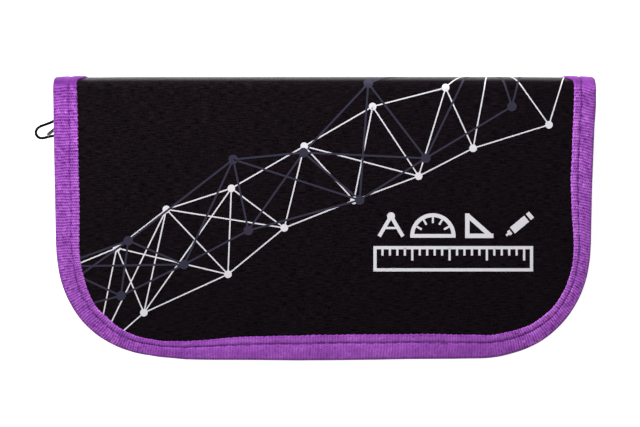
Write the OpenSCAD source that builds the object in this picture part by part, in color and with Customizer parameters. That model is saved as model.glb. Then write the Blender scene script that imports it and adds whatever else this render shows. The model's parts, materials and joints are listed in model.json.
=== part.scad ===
// Zip-around drafting instrument case with its instruments, closed and lying on its back cover.
// X runs along the spine, Y points from the long zipped edge to the spine, Z points up.
// The origin is at the bottom centre of the closed case.

/* [Case] */
// Width along the spine
case_w = 220; // [210:1:260]
// Depth from the long zipped edge to the spine
case_d = 117; // [116:1:150]
// Height of the closed case
case_h = 25; // [25:0.5:34]
// Radius of the two round corners of a cover
corner_r = 45; // [30:1:48]
// Lean of each side in degrees, which makes the case wider at the spine
side_lean = 1; // [0:0.1:1.5]
// Outer radius of the soft folds on both sides of the spine
fold_r = 5.5; // [5:0.1:7]

/* [Cover] */
// Thickness of the printed outer cloth
cloth_t = 0.6; // [0.4:0.1:0.8]
// Thickness of the stiffening board
board_t = 1.6; // [1.2:0.1:2]
// Thickness of the lining
lining_t = 0.4; // [0.3:0.1:0.6]
// Width of the binding tape that shows on each face
tape_w = 10; // [9:0.5:11]
// Thickness of the binding tape
tape_t = 0.6; // [0.4:0.1:0.8]

/* [Zip] */
// Thickness of the zip's cloth tape
zip_t = 0.6; // [0.5:0.1:0.8]
// How far a row of teeth stands out from the tape
row_t = 1.5; // [1.3:0.1:1.8]
// Height of a row of teeth
row_h = 1.8; // [1.6:0.1:2.2]
// Gap between the two closed rows
row_gap = 1; // [0.9:0.1:1.2]
// Distance from one tooth to the next
tooth_pitch = 2.8; // [2.4:0.1:4]
// Depth of the notch between two teeth
tooth_depth = 0.5; // [0.3:0.1:0.8]
// Distance from the fold to the end of the rows, where the slider rests
zip_end = 10; // [8:0.5:20]
// Length of the slider
slider_l = 9; // [8:0.5:12]
// Thickness of the slider's two plates
slider_wall = 0.9; // [0.8:0.1:1.2]
// Length of the pull tab from its pin
tab_l = 12; // [10:0.5:14]
// Width of the pull tab
tab_w = 3.4; // [3:0.1:4]
// Thickness of the pull tab
tab_t = 1; // [0.8:0.1:1.2]
// Angle of the resting tab from straight out
tab_turn = 38; // [20:1:60]
// Thickness of the pull cord
cord_d = 1.1; // [1:0.1:1.2]

/* [Elastic loops] */
// Width of an elastic strip
strip_w = 20; // [14:1:26]
// Distance of each strip from the middle of the case
strip_x = 45; // [40:1:55]
// Thickness of the elastic
elastic_t = 0.9; // [0.6:0.1:1.1]
// Thickness of the sewn band under the instruments
band_t = 0.5; // [0.4:0.1:0.8]

/* [Compass] */
// Length of the closed compass
compass_l = 134; // [124:1:140]
// Width of the closed compass
compass_w = 19; // [18:0.5:20]
// Thickness of the compass head
compass_t = 8.6; // [8:0.1:9]
// Diameter of the compass grip
grip_d = 8; // [6:0.1:8]
// Length of the compass grip
grip_l = 16; // [12:1:20]
// Thickness of a compass leg
leg_t = 5.4; // [4.5:0.1:5.8]

/* [Pencil, leads and ruler] */
// Width of the hexagonal pencil over its corners
pencil_d = 7.6; // [7:0.1:8]
// Length of the pencil
pencil_l = 150; // [120:1:160]
// Diameter of the tube of spare leads
tube_d = 7; // [6.5:0.1:8]
// Length of the tube of spare leads with its cap
tube_l = 56; // [50:1:70]
// Length of the ruler
ruler_l = 165; // [150:1:168]
// Width of the ruler
ruler_w = 28; // [24:1:29]
// Thickness of the ruler
ruler_t = 2.2; // [1.8:0.1:2.6]

/* [Eraser and sharpener] */
// Length of the eraser
eraser_l = 38; // [30:1:44]
// Width of the eraser
eraser_w = 16; // [14:0.5:17]
// Thickness of the eraser
eraser_t = 9; // [7:0.5:9]
// Length of the sharpener
sharp_l = 25; // [24:0.5:28]
// Width of the sharpener
sharp_w = 15; // [14:0.5:16]
// Thickness of the sharpener
sharp_t = 10; // [10:0.5:10.5]

/* [Set square] */
// Length of the long edge of the set square
square_l = 160; // [150:1:164]
// Thickness of the set square
square_t = 2; // [1.6:0.1:2.2]
// Thickness of the clear pocket
pocket_t = 0.4; // [0.3:0.1:0.6]

/* [Fit] */
// Clearance around everything that slides in a loop or pocket
loop_gap = 0.3; // [0.3:0.05:0.4]
// Clearance under everything that lies loose
rest_gap = 0.2; // [0.15:0.05:0.3]
// Clearance between the slider and what runs through it
run_gap = 0.35; // [0.3:0.05:0.4]
// Clearance of a pin in its bore
pin_gap = 0.1; // [0.05:0.01:0.15]

/* [Hidden] */

cover_fn = 96;
round_fn = 48;
eps = 0.01;
past = 20;

// The stack of one cover, from the tape's outer face inwards.
cloth_z = tape_t;
board_z = cloth_z + cloth_t;
lining_z = board_z + board_t;
inside_z = lining_z + lining_t;
cover_t = inside_z + tape_t;

// Outline of a cover: sides that lean out towards the spine, tangent to two round corners.
spine_y = case_d / 2;
fold_y = spine_y - tape_t - fold_r;
edge_y = -case_d / 2;
corner_y = edge_y + corner_r;
tangent_y = corner_y - corner_r * sin(side_lean);
corner_x = case_w / 2 - (fold_y - tangent_y) * tan(side_lean) - corner_r * cos(side_lean);
function side_x(y, inset) = case_w / 2 - (fold_y - y) * tan(side_lean) - inset / cos(side_lean);

// Fold rings, seen along X: their centre and the radii of the layers.
fold_z = tape_t + fold_r;
fold_core_r = fold_r + tape_t - inside_z;
fold_tape_r = fold_core_r - tape_t;

// Zip: the wall stands on the lining along the inner edge of the binding.
mid_z = case_h / 2;
row_z = mid_z - row_gap / 2 - row_h;
zip_top_z = row_z + row_h / 2;
zip_wall_end = fold_y - 1;
row_end_y = fold_y - zip_end;
tooth_shape = [[0, 0], [0.62, 0], [0.72, tooth_depth], [0.9, tooth_depth]];
stop_l = 1.8;
stop_t = 1.3;
stop_gap = 2;

// Slider: x is measured outwards from the wall's outer face and z from the middle of the chain.
outer_plate_x = row_t + run_gap;
inner_plate_x = -zip_t - run_gap;
lip_z = row_gap / 2 + row_h + run_gap;
lip_t = 0.8;
slider_half_h = lip_z + lip_t;
slider_y = row_end_y - 0.4;
slider_bevel = 1.6;
post_l = 3;
post_t = row_gap - 2 * rest_gap;
pin_d = 1.2;
tab_bore_d = pin_d + 2 * run_gap;
tab_hub_d = tab_bore_d + 1;
pin_out = tab_hub_d / 2 + run_gap;
tab_pin_x = outer_plate_x + slider_wall + pin_out;
lug_t = 0.8;
lug_l = 2.6;
eye_at = 3.4;
eye_d = cord_d + 0.6;
tip_hole_d = 1.6;

// Route of the pull cord: it leaves the eye of the resting tab, lies on the back cover's
// edge, turns outside the case and comes back to the eye.
cord_route = [
    [-107, 39.8, 12.5], [-107.35, 40.25, 12.5], [-108.1, 40.95, 12.35], [-109.05, 41.3, 11.85],
    [-109.95, 41.15, 11.1], [-110.9, 40.65, 10.15], [-111.9, 40.15, 9.15],
    [-112.95, 39.75, 8.2], [-114.1, 39.4, 7.25], [-115.3, 39, 6.4], [-116.35, 38.7, 5.8],
    [-117.45, 38.25, 5.4], [-118.55, 37.5, 5.1], [-119.2, 36.45, 4.85], [-119.25, 35.25, 4.7],
    [-118.65, 34.2, 4.65], [-117.6, 33.55, 4.6], [-116.35, 33.5, 4.6], [-115.2, 33.75, 4.65],
    [-113.9, 34.1, 4.75], [-112.4, 34.35, 4.9], [-110.9, 34.5, 5.2], [-109.5, 34.7, 5.8],
    [-108.3, 35.1, 6.7], [-107.4, 35.65, 7.75], [-106.8, 36.25, 8.85], [-106.4, 36.8, 9.9],
    [-106.15, 37.35, 10.9], [-106.15, 38.05, 11.8], [-106.4, 38.75, 12.3],
    [-106.75, 39.35, 12.5], [-107, 39.7, 12.5]
];
cord_sides = 8;

// Elastic loops: rows of instruments from the spine outwards, in order of Y.
loop_wall = loop_gap + elastic_t;
row_space = 0.6;
row_l = 2 * loop_wall + row_space;
lie_z = inside_z + band_t + rest_gap;
compass_y = fold_y - row_space - loop_wall - compass_w / 2;
pencil_y = compass_y - compass_w / 2 - row_l - pencil_d / 2;
tube_y = pencil_y - pencil_d / 2 - row_l - tube_d / 2;
ruler_y = tube_y - tube_d / 2 - row_l - ruler_w / 2;
small_y = ruler_y - ruler_w / 2 - row_l - eraser_w / 2;
band_low_y = small_y - eraser_w / 2 - loop_wall - row_space;
band_high_y = fold_y - 0.2;
round_share = 0.49;
soft_corner = 1.6;

// Compass, drawn along X with its middle at the origin.
compass_z = lie_z + compass_t / 2;
head_x = -compass_l / 2 + grip_l;
head_d = 15;
pivot_x = head_x + head_d / 2 + 2;
pivot_y = 3.9;
pivot_d = 2.4;
leg_head_d = 7;
leg_end_w = 5.2;
leg_split = 0.6;
socket_l = 14;
socket_bore_x = 2;
socket_d = 6;
socket_y = socket_d / 2 + leg_split / 2;
point_reach = 26;
leg_end_x = compass_l / 2 - point_reach;
screw_d = 6.4;
screw_shank_d = 2;
screw_head_t = compass_w / 2 - socket_y - socket_d / 2;
needle_d = 1.6;
needle_tip_l = 4;
compass_lead_d = 2;

// Pencil.
point_l = 20;
pencil_lead_d = 2.2;
lead_cone_l = point_l * pencil_lead_d / pencil_d;

// Tube of spare leads.
tube_wall = 0.8;
cap_l = 12;
cap_edge = 1;
tube_body_l = tube_l - cap_l;
spigot_l = 4;
spare_d = 1.2;

// Eraser.
sleeve_t = 0.4;
sleeve_l = eraser_l - 10;

// Sharpener.
groove_d = 8.2;
blade_t = 0.6;
blade_screw_t = 0.6;
blade_screw_d = 1.6;
blade_screw_l = 0.7;
blade_inset = 1;
seat_z = sharp_t - blade_t - blade_screw_t;

// Set square and its pocket, drawn inside the back cover and turned over onto the front one.
square_z = inside_z + rest_gap;
pocket_z = square_z + square_t + loop_gap;
pocket_inset = tape_w + zip_t + 1;
pocket_rim = 1.2;
pocket_mouth_y = 28;
hem_w = 5;
hem_t = 0.4;
square_y = fold_y - 15;
window_l = 20;

// ---------- shared shapes ----------

// Cover outline, inset from its edge, up to the height top_y.
module cover_2d(inset, top_y) {
    polygon([
        [-side_x(top_y, inset), top_y],
        [-side_x(tangent_y, inset), tangent_y],
        [-corner_x, corner_y],
        [-corner_x, edge_y + inset],
        [corner_x, edge_y + inset],
        [corner_x, corner_y],
        [side_x(tangent_y, inset), tangent_y],
        [side_x(top_y, inset), top_y]
    ]);
    for (side = [-1, 1])
        translate([side * corner_x, corner_y])
            circle(r = corner_r - inset, $fn = cover_fn);
}

// A flat layer of a cover, from the height z upwards.
module cover_layer(z, t) {
    translate([0, 0, z])
        linear_extrude(t)
            cover_2d(tape_t, fold_y);
}

// Binding tape folded round the edge of a cover.
module cover_binding() {
    difference() {
        linear_extrude(cover_t)
            cover_2d(0, fold_y);
        translate([0, 0, tape_t])
            linear_extrude(cover_t - 2 * tape_t)
                cover_2d(tape_t, fold_y + eps);
        translate([0, 0, -1])
            linear_extrude(cover_t + 2)
                cover_2d(tape_w, fold_y + eps);
    }
}

// Turns anything made on the back cover over onto the front cover.
module on_front() {
    translate([0, 0, case_h])
        rotate([0, 180, 0])
            children();
}

// Stands a drawing up on its edge: drawing X becomes Y, drawing Y becomes Z, and it
// runs along X for the length l.
module along_x(l) {
    translate([-l / 2, 0, 0])
        rotate([90, 0, 90])
            linear_extrude(l)
                children();
}

// A quarter ring along X around the back fold, between the radii r0 and r1.
module fold_ring(r0, r1, l) {
    translate([0, fold_y, fold_z])
        intersection() {
            rotate([0, 90, 0])
                difference() {
                    cylinder(r = r1, h = l, center = true, $fn = cover_fn);
                    cylinder(r = r0, h = l + 2, center = true, $fn = cover_fn);
                }
            translate([-l, 0, -2 * r1])
                cube([2 * l, 2 * r1, 2 * r1]);
        }
}

// Binding tape folded round both ends of the back fold.
module fold_binding() {
    difference() {
        fold_ring(fold_tape_r, fold_r + tape_t, case_w);
        fold_ring(fold_core_r, fold_r, case_w - 2 * tape_t);
        fold_ring(fold_tape_r - 1, fold_r + tape_t + 1, case_w - 2 * tape_w);
    }
}

// A layer of the spine, counted inwards from the tape's outer face.
module spine_layer(w, t) {
    l = case_w - 2 * tape_t;
    translate([-l / 2, spine_y - w - t, fold_z])
        cube([l, t, case_h - 2 * fold_z]);
}

// ---------- covers, folds and spine ----------

module back_cloth() {
    color("#17141a")
        cover_layer(cloth_z, cloth_t);
}

module back_board() {
    color("#8a7a63")
        cover_layer(board_z, board_t);
}

module back_lining() {
    color("#26232b")
        cover_layer(lining_z, lining_t);
}

module back_binding() {
    color("#8f4eaa")
        cover_binding();
}

module back_fold() {
    color("#17141a")
        fold_ring(fold_core_r, fold_r, case_w - 2 * tape_t);
}

module back_fold_binding() {
    color("#8f4eaa")
        fold_binding();
}

module spine_cloth() {
    color("#17141a")
        spine_layer(cloth_z, cloth_t);
}

module spine_board() {
    color("#8a7a63")
        spine_layer(board_z, board_t);
}

module spine_lining() {
    color("#26232b")
        spine_layer(lining_z, lining_t);
}

module spine_binding() {
    color("#8f4eaa")
        difference() {
            translate([-case_w / 2, spine_y - cover_t, fold_z])
                cube([case_w, cover_t, case_h - 2 * fold_z]);
            translate([-case_w / 2 + tape_t, spine_y - cover_t + tape_t, fold_z - 1])
                cube([case_w - 2 * tape_t, cover_t - 2 * tape_t, case_h]);
            translate([-case_w / 2 + tape_w, spine_y - cover_t - 1, fold_z - 1])
                cube([case_w - 2 * tape_w, cover_t + 2, case_h]);
        }
}

module front_fold() {
    color("#17141a")
        on_front()
            fold_ring(fold_core_r, fold_r, case_w - 2 * tape_t);
}

module front_fold_binding() {
    color("#8f4eaa")
        on_front()
            fold_binding();
}

module front_cloth() {
    color("#17141a")
        on_front()
            cover_layer(cloth_z, cloth_t);
}

module front_board() {
    color("#8a7a63")
        on_front()
            cover_layer(board_z, board_t);
}

module front_lining() {
    color("#26232b")
        on_front()
            cover_layer(lining_z, lining_t);
}

module front_binding() {
    color("#8f4eaa")
        on_front()
            cover_binding();
}

// ---------- zip ----------

// Points of the toothed edge of a row, outside the zip wall: from the right end, round
// both corners, to the left end. The place along the edge is measured as a length.
row_inset = tape_w - row_t;
row_corner_r = corner_r - row_inset;
row_side_l = (row_end_y - tangent_y) / cos(side_lean);
row_corner_l = row_corner_r * (90 - side_lean) * PI / 180;
row_half_l = row_side_l + row_corner_l + corner_x;
tooth_n = floor(row_half_l / tooth_pitch);
tooth_step = row_half_l / tooth_n;

function on_side(s, d) =
    [side_x(row_end_y, row_inset + d) - s * sin(side_lean), row_end_y - s * cos(side_lean)];
function on_corner(s, d) =
    let (a = -side_lean - s / row_corner_r * 180 / PI)
    [corner_x + (row_corner_r - d) * cos(a), corner_y + (row_corner_r - d) * sin(a)];
function on_half(s, d) =
    s < row_side_l ? on_side(s, d)
    : s < row_side_l + row_corner_l ? on_corner(s - row_side_l, d)
    : [corner_x - (s - row_side_l - row_corner_l), edge_y + row_inset + d];
function half_teeth() = [
    for (i = [0:tooth_n - 1])
        for (part = tooth_shape)
            on_half((i + part[0]) * tooth_step, part[1])
];
function mirrored(points) = [
    for (i = [len(points) - 1:-1:0])
        [-points[i][0], points[i][1]]
];

module teeth_row() {
    right = half_teeth();
    translate([0, 0, row_z])
        linear_extrude(row_h)
            difference() {
                polygon(concat(right, mirrored(right)));
                cover_2d(tape_w, fold_y);
            }
}

module zip_tape() {
    translate([0, 0, inside_z])
        linear_extrude(zip_top_z - inside_z)
            difference() {
                cover_2d(tape_w, zip_wall_end);
                cover_2d(tape_w + zip_t, zip_wall_end + eps);
            }
}

// Crimped stops on the tape, just past the ends of the rows.
module zip_stops() {
    y = row_end_y + slider_l / 2 + stop_gap;
    for (side = [-1, 1])
        translate([side * side_x(y, tape_w), y, zip_top_z - row_h / 2])
            rotate([0, 0, -side * side_lean])
                translate([side > 0 ? 0 : -stop_t, 0, 0])
                    cube([stop_t, stop_l, row_h]);
}

module zip_tape_back() {
    color("#1c1820")
        zip_tape();
}

module zip_teeth_back() {
    color("#2a2430")
        teeth_row();
}

module zip_stops_back() {
    color("#9a9a9e")
        zip_stops();
}

module zip_tape_front() {
    color("#1c1820")
        on_front()
            zip_tape();
}

module zip_teeth_front() {
    color("#2a2430")
        on_front()
            teeth_row();
}

module zip_stops_front() {
    color("#9a9a9e")
        on_front()
            zip_stops();
}

// Places its children on the left side of the case: X points outwards from the zip
// wall, Y towards the spine and Z up, with the origin in the middle of the chain.
module at_slider() {
    translate([-side_x(slider_y, tape_w), slider_y, mid_z])
        rotate([0, 0, side_lean])
            mirror([1, 0, 0])
                children();
}

// Two plates joined by a post that runs between the rows. A lip under the lower row holds
// the slider, and the upper row can lift out between the plates.
module zip_slider() {
    color("#a3a3a8")
        at_slider()
            difference() {
                union() {
                    translate([outer_plate_x, -slider_l / 2, -slider_half_h])
                        cube([slider_wall, slider_l, 2 * slider_half_h]);
                    translate([inner_plate_x - slider_wall, -slider_l / 2, -slider_half_h])
                        cube([slider_wall, slider_l, 2 * slider_half_h]);
                    translate([inner_plate_x - eps, slider_l / 2 - post_l, -post_t / 2])
                        cube([outer_plate_x - inner_plate_x + 2 * eps, post_l, post_t]);
                    translate([run_gap, -slider_l / 2, -slider_half_h])
                        cube([outer_plate_x - run_gap + eps, slider_l, lip_t]);
                    slider_lugs();
                }
                slider_corners();
            }
}

// Ears that hold the tab's pin, and the pin itself.
module slider_lugs() {
    lug_z = tab_w / 2 + run_gap;
    base_x = outer_plate_x + slider_wall - eps;
    for (side = [-1, 1])
        translate([0, 0, side * (lug_z + lug_t / 2) - lug_t / 2]) {
            translate([base_x, -lug_l / 2, 0])
                cube([pin_out + eps, lug_l, lug_t]);
            translate([tab_pin_x, 0, 0])
                cylinder(d = lug_l, h = lug_t, $fn = round_fn);
        }
    translate([tab_pin_x, 0, -lug_z - lug_t / 2])
        cylinder(d = pin_d, h = 2 * lug_z + lug_t, $fn = round_fn);
}

// Cuts that narrow the slider towards the closed side of the zip.
module slider_corners() {
    for (side = [-1, 1])
        translate([0, -slider_l / 2, side * slider_half_h])
            rotate([45, 0, 0])
                cube([past, slider_bevel, slider_bevel], center = true);
}

// Tab on its pin, turned to where it rests, drawn pointing outwards.
module zip_tab() {
    color("#b4b4b8")
        at_slider()
            translate([tab_pin_x, 0, 0])
                rotate([0, 0, -tab_turn])
                    difference() {
                        union() {
                            cylinder(d = tab_hub_d, h = tab_w, center = true, $fn = round_fn);
                            translate([0, -tab_t / 2, -tab_w / 2])
                                cube([tab_l - tab_w / 2, tab_t, tab_w]);
                            translate([tab_l - tab_w / 2, 0, 0])
                                rotate([90, 0, 0])
                                    cylinder(d = tab_w, h = tab_t, center = true, $fn = round_fn);
                        }
                        cylinder(d = tab_bore_d, h = tab_w + 2, center = true, $fn = round_fn);
                        translate([eye_at, 0, 0])
                            rotate([90, 0, 0])
                                cylinder(d = eye_d, h = 2 * tab_hub_d, center = true, $fn = round_fn);
                        translate([tab_l - tab_w / 2, 0, 0])
                            rotate([90, 0, 0])
                                cylinder(d = tip_hole_d, h = 2 * tab_t, center = true, $fn = round_fn);
                    }
}

// A round tube swept along the cord's route: a ring of points across each route point.
function unit(v) = v / norm(v);
function heading(i) =
    let (last = len(cord_route) - 1)
    unit(cord_route[min(i + 1, last)] - cord_route[max(i - 1, 0)]);
function ring_point(i, k) =
    let (
        side = unit(cross(heading(i), [0.3, 0.2, 1])),
        up = cross(side, heading(i)),
        a = 360 * k / cord_sides
    )
    cord_route[i] + cord_d / 2 * (cos(a) * side + sin(a) * up);

module zip_cord() {
    rings = len(cord_route);
    points = [for (i = [0:rings - 1]) for (k = [0:cord_sides - 1]) ring_point(i, k)];
    walls = [
        for (i = [0:rings - 2])
            for (k = [0:cord_sides - 1])
                let (n = (k + 1) % cord_sides)
                [
                    i * cord_sides + k, (i + 1) * cord_sides + k,
                    (i + 1) * cord_sides + n, i * cord_sides + n
                ]
    ];
    first = [for (k = [0:cord_sides - 1]) k];
    last = [for (k = [cord_sides - 1:-1:0]) (rings - 1) * cord_sides + k];
    color("#151317")
        polyhedron(points, concat(walls, [first, last]), convexity = 6);
}

// ---------- elastic loops ----------

// Solid outline of an arch, w wide and h tall, with its upper corners rounded by r.
module arch_2d(w, h, r) {
    intersection() {
        translate([-w / 2, 0])
            square([w, h]);
        union() {
            translate([-w / 2, 0])
                square([w, max(h - r, eps)]);
            translate([-w / 2 + r, 0])
                square([w - 2 * r, h]);
            for (side = [-1, 1])
                translate([side * (w / 2 - r), h - r])
                    circle(r = r, $fn = round_fn);
        }
    }
}

// One elastic loop over an instrument w wide and h tall that lies at y. Its corners follow
// the instrument's own, which are rounded by r.
module loop_2d(y, w, h, r) {
    translate([y, inside_z + band_t / 2])
        difference() {
            arch_2d(w + 2 * loop_wall, h + rest_gap + loop_wall + band_t / 2, r + loop_wall);
            translate([0, band_t / 2])
                arch_2d(w + 2 * loop_gap, h + rest_gap + loop_gap, r + loop_gap);
        }
}

// The sewn band and the loops that both strips have.
module strip_2d() {
    translate([band_low_y, inside_z])
        square([band_high_y - band_low_y, band_t]);
    loop_2d(compass_y, compass_w, compass_t, soft_corner);
    loop_2d(pencil_y, pencil_d, pencil_d, pencil_d * round_share);
    loop_2d(ruler_y, ruler_w, ruler_t, 0);
}

module elastic_left() {
    color("#1d1a20")
        translate([-strip_x, 0, 0])
            along_x(strip_w) {
                strip_2d();
                loop_2d(tube_y, tube_d, tube_d, tube_d * round_share);
                loop_2d(small_y, eraser_w, eraser_t, 0);
            }
}

module elastic_right() {
    color("#1d1a20")
        translate([strip_x, 0, 0])
            along_x(strip_w) {
                strip_2d();
                loop_2d(small_y, sharp_w, sharp_t, soft_corner);
            }
}

// ---------- clear pocket ----------

// Everything of the pocket outline that lies below the height y.
module pocket_2d(inset, y) {
    intersection() {
        cover_2d(inset, fold_y);
        translate([-case_w, edge_y - past])
            square([2 * case_w, y - edge_y + past]);
    }
}

module clear_pocket() {
    color("#dfe6ea", 0.45)
        on_front()
            translate([0, 0, pocket_z])
                linear_extrude(pocket_t)
                    pocket_2d(pocket_inset, pocket_mouth_y);
}

// Strip sewn round the pocket, which gives it depth and leaves its mouth open.
module pocket_gusset() {
    color("#26232b")
        on_front()
            translate([0, 0, inside_z])
                linear_extrude(pocket_z - inside_z)
                    difference() {
                        pocket_2d(pocket_inset, pocket_mouth_y);
                        pocket_2d(pocket_inset + pocket_rim, pocket_mouth_y + eps);
                    }
}

module pocket_hem() {
    color("#8f4eaa")
        on_front()
            translate([0, 0, pocket_z + pocket_t])
                linear_extrude(hem_t)
                    difference() {
                        pocket_2d(pocket_inset, pocket_mouth_y);
                        pocket_2d(pocket_inset - 1, pocket_mouth_y - hem_w);
                    }
}

// ---------- compass ----------

module at_compass() {
    translate([0, compass_y, compass_z])
        children();
}

// Grip with rings turned into it.
module compass_grip() {
    rings = 5;
    ring_step = (grip_l - 4) / rings;
    ring_depth = 0.5;
    color("#c8c9cc")
        at_compass()
            translate([-compass_l / 2, 0, 0])
                rotate([0, 90, 0])
                    rotate_extrude($fn = round_fn)
                        difference() {
                            polygon([
                                [0, 0], [grip_d / 2 - 0.8, 0], [grip_d / 2, 0.8],
                                [grip_d / 2, grip_l - 1.2], [grip_d / 2 - 1.2, grip_l], [0, grip_l]
                            ]);
                            for (i = [0:rings - 1])
                                translate([grip_d / 2 - ring_depth, 1.6 + i * ring_step])
                                    square([1, ring_step / 2]);
                        }
}

// Fork with two cheeks that hold the heads of the legs.
module compass_yoke() {
    slot = leg_t + 2 * pin_gap;
    color("#c8c9cc")
        at_compass()
            difference() {
                union() {
                    translate([pivot_x, 0, 0])
                        cylinder(d = head_d, h = compass_t, center = true, $fn = cover_fn);
                    translate([head_x, -head_d / 4, -compass_t / 2])
                        cube([pivot_x - head_x, head_d / 2, compass_t]);
                }
                translate([pivot_x - leg_head_d / 2 - 0.4, -head_d, -slot / 2])
                    cube([head_d * 2, 2 * head_d, slot]);
                for (side = [-1, 1])
                    translate([pivot_x, side * pivot_y, 0])
                        cylinder(d = pivot_d + 2 * pin_gap, h = compass_t + 2, center = true, $fn = round_fn);
            }
}

module compass_pins() {
    color("#8d8e92")
        at_compass()
            for (side = [-1, 1])
                translate([pivot_x, side * pivot_y, 0])
                    cylinder(d = pivot_d, h = compass_t, center = true, $fn = round_fn);
}

// One leg on the side +1 or -1: a round head on the pivot and a bar that narrows to its end.
module compass_leg(side) {
    inner = leg_split / 2;
    outer = pivot_y + leg_head_d / 2;
    taper_l = 30;
    neck_l = 6;
    groove_l = 44;
    groove_w = 2;
    groove_depth = 0.6;
    at_compass()
        mirror([0, side < 0 ? 1 : 0, 0])
            difference() {
                translate([0, 0, -leg_t / 2])
                    linear_extrude(leg_t) {
                        translate([pivot_x, pivot_y])
                            circle(d = leg_head_d, $fn = round_fn);
                        polygon([
                            [pivot_x, inner],
                            [leg_end_x, inner],
                            [leg_end_x, inner + leg_end_w],
                            [pivot_x + taper_l, inner + socket_d],
                            [pivot_x + neck_l, outer],
                            [pivot_x, outer]
                        ]);
                    }
                translate([pivot_x, pivot_y, 0])
                    cylinder(d = pivot_d + 2 * pin_gap, h = leg_t + 2, center = true, $fn = round_fn);
                translate([pivot_x + taper_l + neck_l, inner + socket_d / 2, leg_t / 2])
                    cube([groove_l, groove_w, 2 * groove_depth], center = true);
            }
}

module needle_leg() {
    color("#b9babd")
        compass_leg(1);
}

module lead_leg() {
    color("#b9babd")
        compass_leg(-1);
}

// Round socket at the end of a leg, with a bore for the needle or the lead and a
// threaded cross hole for its clamp screw.
module leg_socket(side, bore) {
    at_compass()
        difference() {
            translate([leg_end_x, side * socket_y, 0])
                rotate([0, 90, 0])
                    cylinder(d = socket_d, h = socket_l, $fn = round_fn);
            translate([leg_end_x + socket_bore_x, side * socket_y, 0])
                rotate([0, 90, 0])
                    cylinder(d = bore + 2 * pin_gap, h = socket_l, $fn = round_fn);
            translate([leg_end_x + socket_l / 2, side * socket_y, 0])
                rotate([-90 * side, 0, 0])
                    cylinder(d = screw_shank_d + 2 * pin_gap, h = socket_d, $fn = round_fn);
        }
}

module needle_socket() {
    color("#c8c9cc")
        leg_socket(1, needle_d);
}

module lead_socket() {
    color("#c8c9cc")
        leg_socket(-1, compass_lead_d);
}

// Thumb screw whose shank ends on the needle or the lead.
module clamp_screw(side, held_d) {
    shank_l = socket_d / 2 - held_d / 2 - pin_gap;
    at_compass()
        translate([leg_end_x + socket_l / 2, side * (socket_y + held_d / 2 + pin_gap), 0])
            rotate([-90 * side, 0, 0]) {
                cylinder(d = screw_shank_d, h = shank_l + eps, $fn = round_fn);
                translate([0, 0, shank_l])
                    cylinder(d = screw_d, h = screw_head_t, $fn = round_fn);
            }
}

module needle_screw() {
    color("#d0b070")
        clamp_screw(1, needle_d);
}

module lead_screw() {
    color("#d0b070")
        clamp_screw(-1, compass_lead_d);
}

module compass_needle() {
    start_x = leg_end_x + socket_bore_x;
    shank_l = compass_l / 2 - start_x - needle_tip_l;
    color("#dcdde0")
        at_compass()
            translate([start_x, socket_y, 0])
                rotate([0, 90, 0]) {
                    cylinder(d = needle_d, h = shank_l, $fn = round_fn);
                    translate([0, 0, shank_l - eps])
                        cylinder(d1 = needle_d, d2 = 0.2, h = needle_tip_l + eps, $fn = round_fn);
                }
}

module compass_lead() {
    start_x = leg_end_x + socket_bore_x;
    bevel_angle = 25;
    color("#3a3a3e")
        at_compass()
            difference() {
                translate([start_x, -socket_y, 0])
                    rotate([0, 90, 0])
                        cylinder(d = compass_lead_d, h = compass_l / 2 - start_x, $fn = round_fn);
                translate([compass_l / 2, -socket_y + compass_lead_d / 2 - 0.2, 0])
                    rotate([0, 0, -bevel_angle])
                        cube([3 * compass_lead_d, compass_lead_d, 2 * compass_lead_d], center = true);
            }
}

// ---------- pencil ----------

module at_pencil() {
    translate([-pencil_l / 2, pencil_y, lie_z + pencil_d / 2 * cos(30)])
        rotate([0, 90, 0])
            children();
}

// Hexagonal barrel with a sharpened end and a bore for the lead.
module pencil_barrel() {
    color("#5b4a8c")
        at_pencil()
            difference() {
                rotate([0, 0, 30])
                    cylinder(d = pencil_d, h = pencil_l - lead_cone_l, $fn = 6);
                translate([0, 0, -1])
                    cylinder(d = pencil_lead_d + 2 * eps, h = pencil_l + 2, $fn = round_fn);
                translate([0, 0, pencil_l - point_l])
                    difference() {
                        cylinder(d = 2 * pencil_d, h = point_l + 1, $fn = round_fn);
                        cylinder(d1 = pencil_d, d2 = 0, h = point_l, $fn = round_fn);
                    }
            }
}

module pencil_lead() {
    color("#3a3a3e")
        at_pencil() {
            cylinder(d = pencil_lead_d, h = pencil_l - lead_cone_l, $fn = round_fn);
            translate([0, 0, pencil_l - lead_cone_l - eps])
                cylinder(d1 = pencil_lead_d, d2 = 0.4, h = lead_cone_l, $fn = round_fn);
        }
}

// ---------- tube of spare leads ----------

module at_tube() {
    translate([-strip_x - tube_l / 2, tube_y, lie_z + tube_d / 2])
        rotate([0, 90, 0])
            children();
}

module tube_body() {
    color("#d7dde2", 0.6)
        at_tube()
            difference() {
                cylinder(d = tube_d, h = tube_body_l, $fn = round_fn);
                translate([0, 0, tube_wall])
                    cylinder(d = tube_d - 2 * tube_wall, h = tube_body_l, $fn = round_fn);
            }
}

// Cap with a spigot that plugs the open end of the tube.
module tube_cap() {
    color("#2c2c30")
        at_tube() {
            translate([0, 0, tube_body_l])
                cylinder(d = tube_d, h = cap_l - cap_edge, $fn = round_fn);
            translate([0, 0, tube_l - cap_edge - eps])
                cylinder(d1 = tube_d, d2 = tube_d - 1.6, h = cap_edge + eps, $fn = round_fn);
            translate([0, 0, tube_body_l - spigot_l])
                cylinder(d = tube_d - 2 * tube_wall - 2 * pin_gap, h = spigot_l + eps, $fn = round_fn);
        }
}

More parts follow.
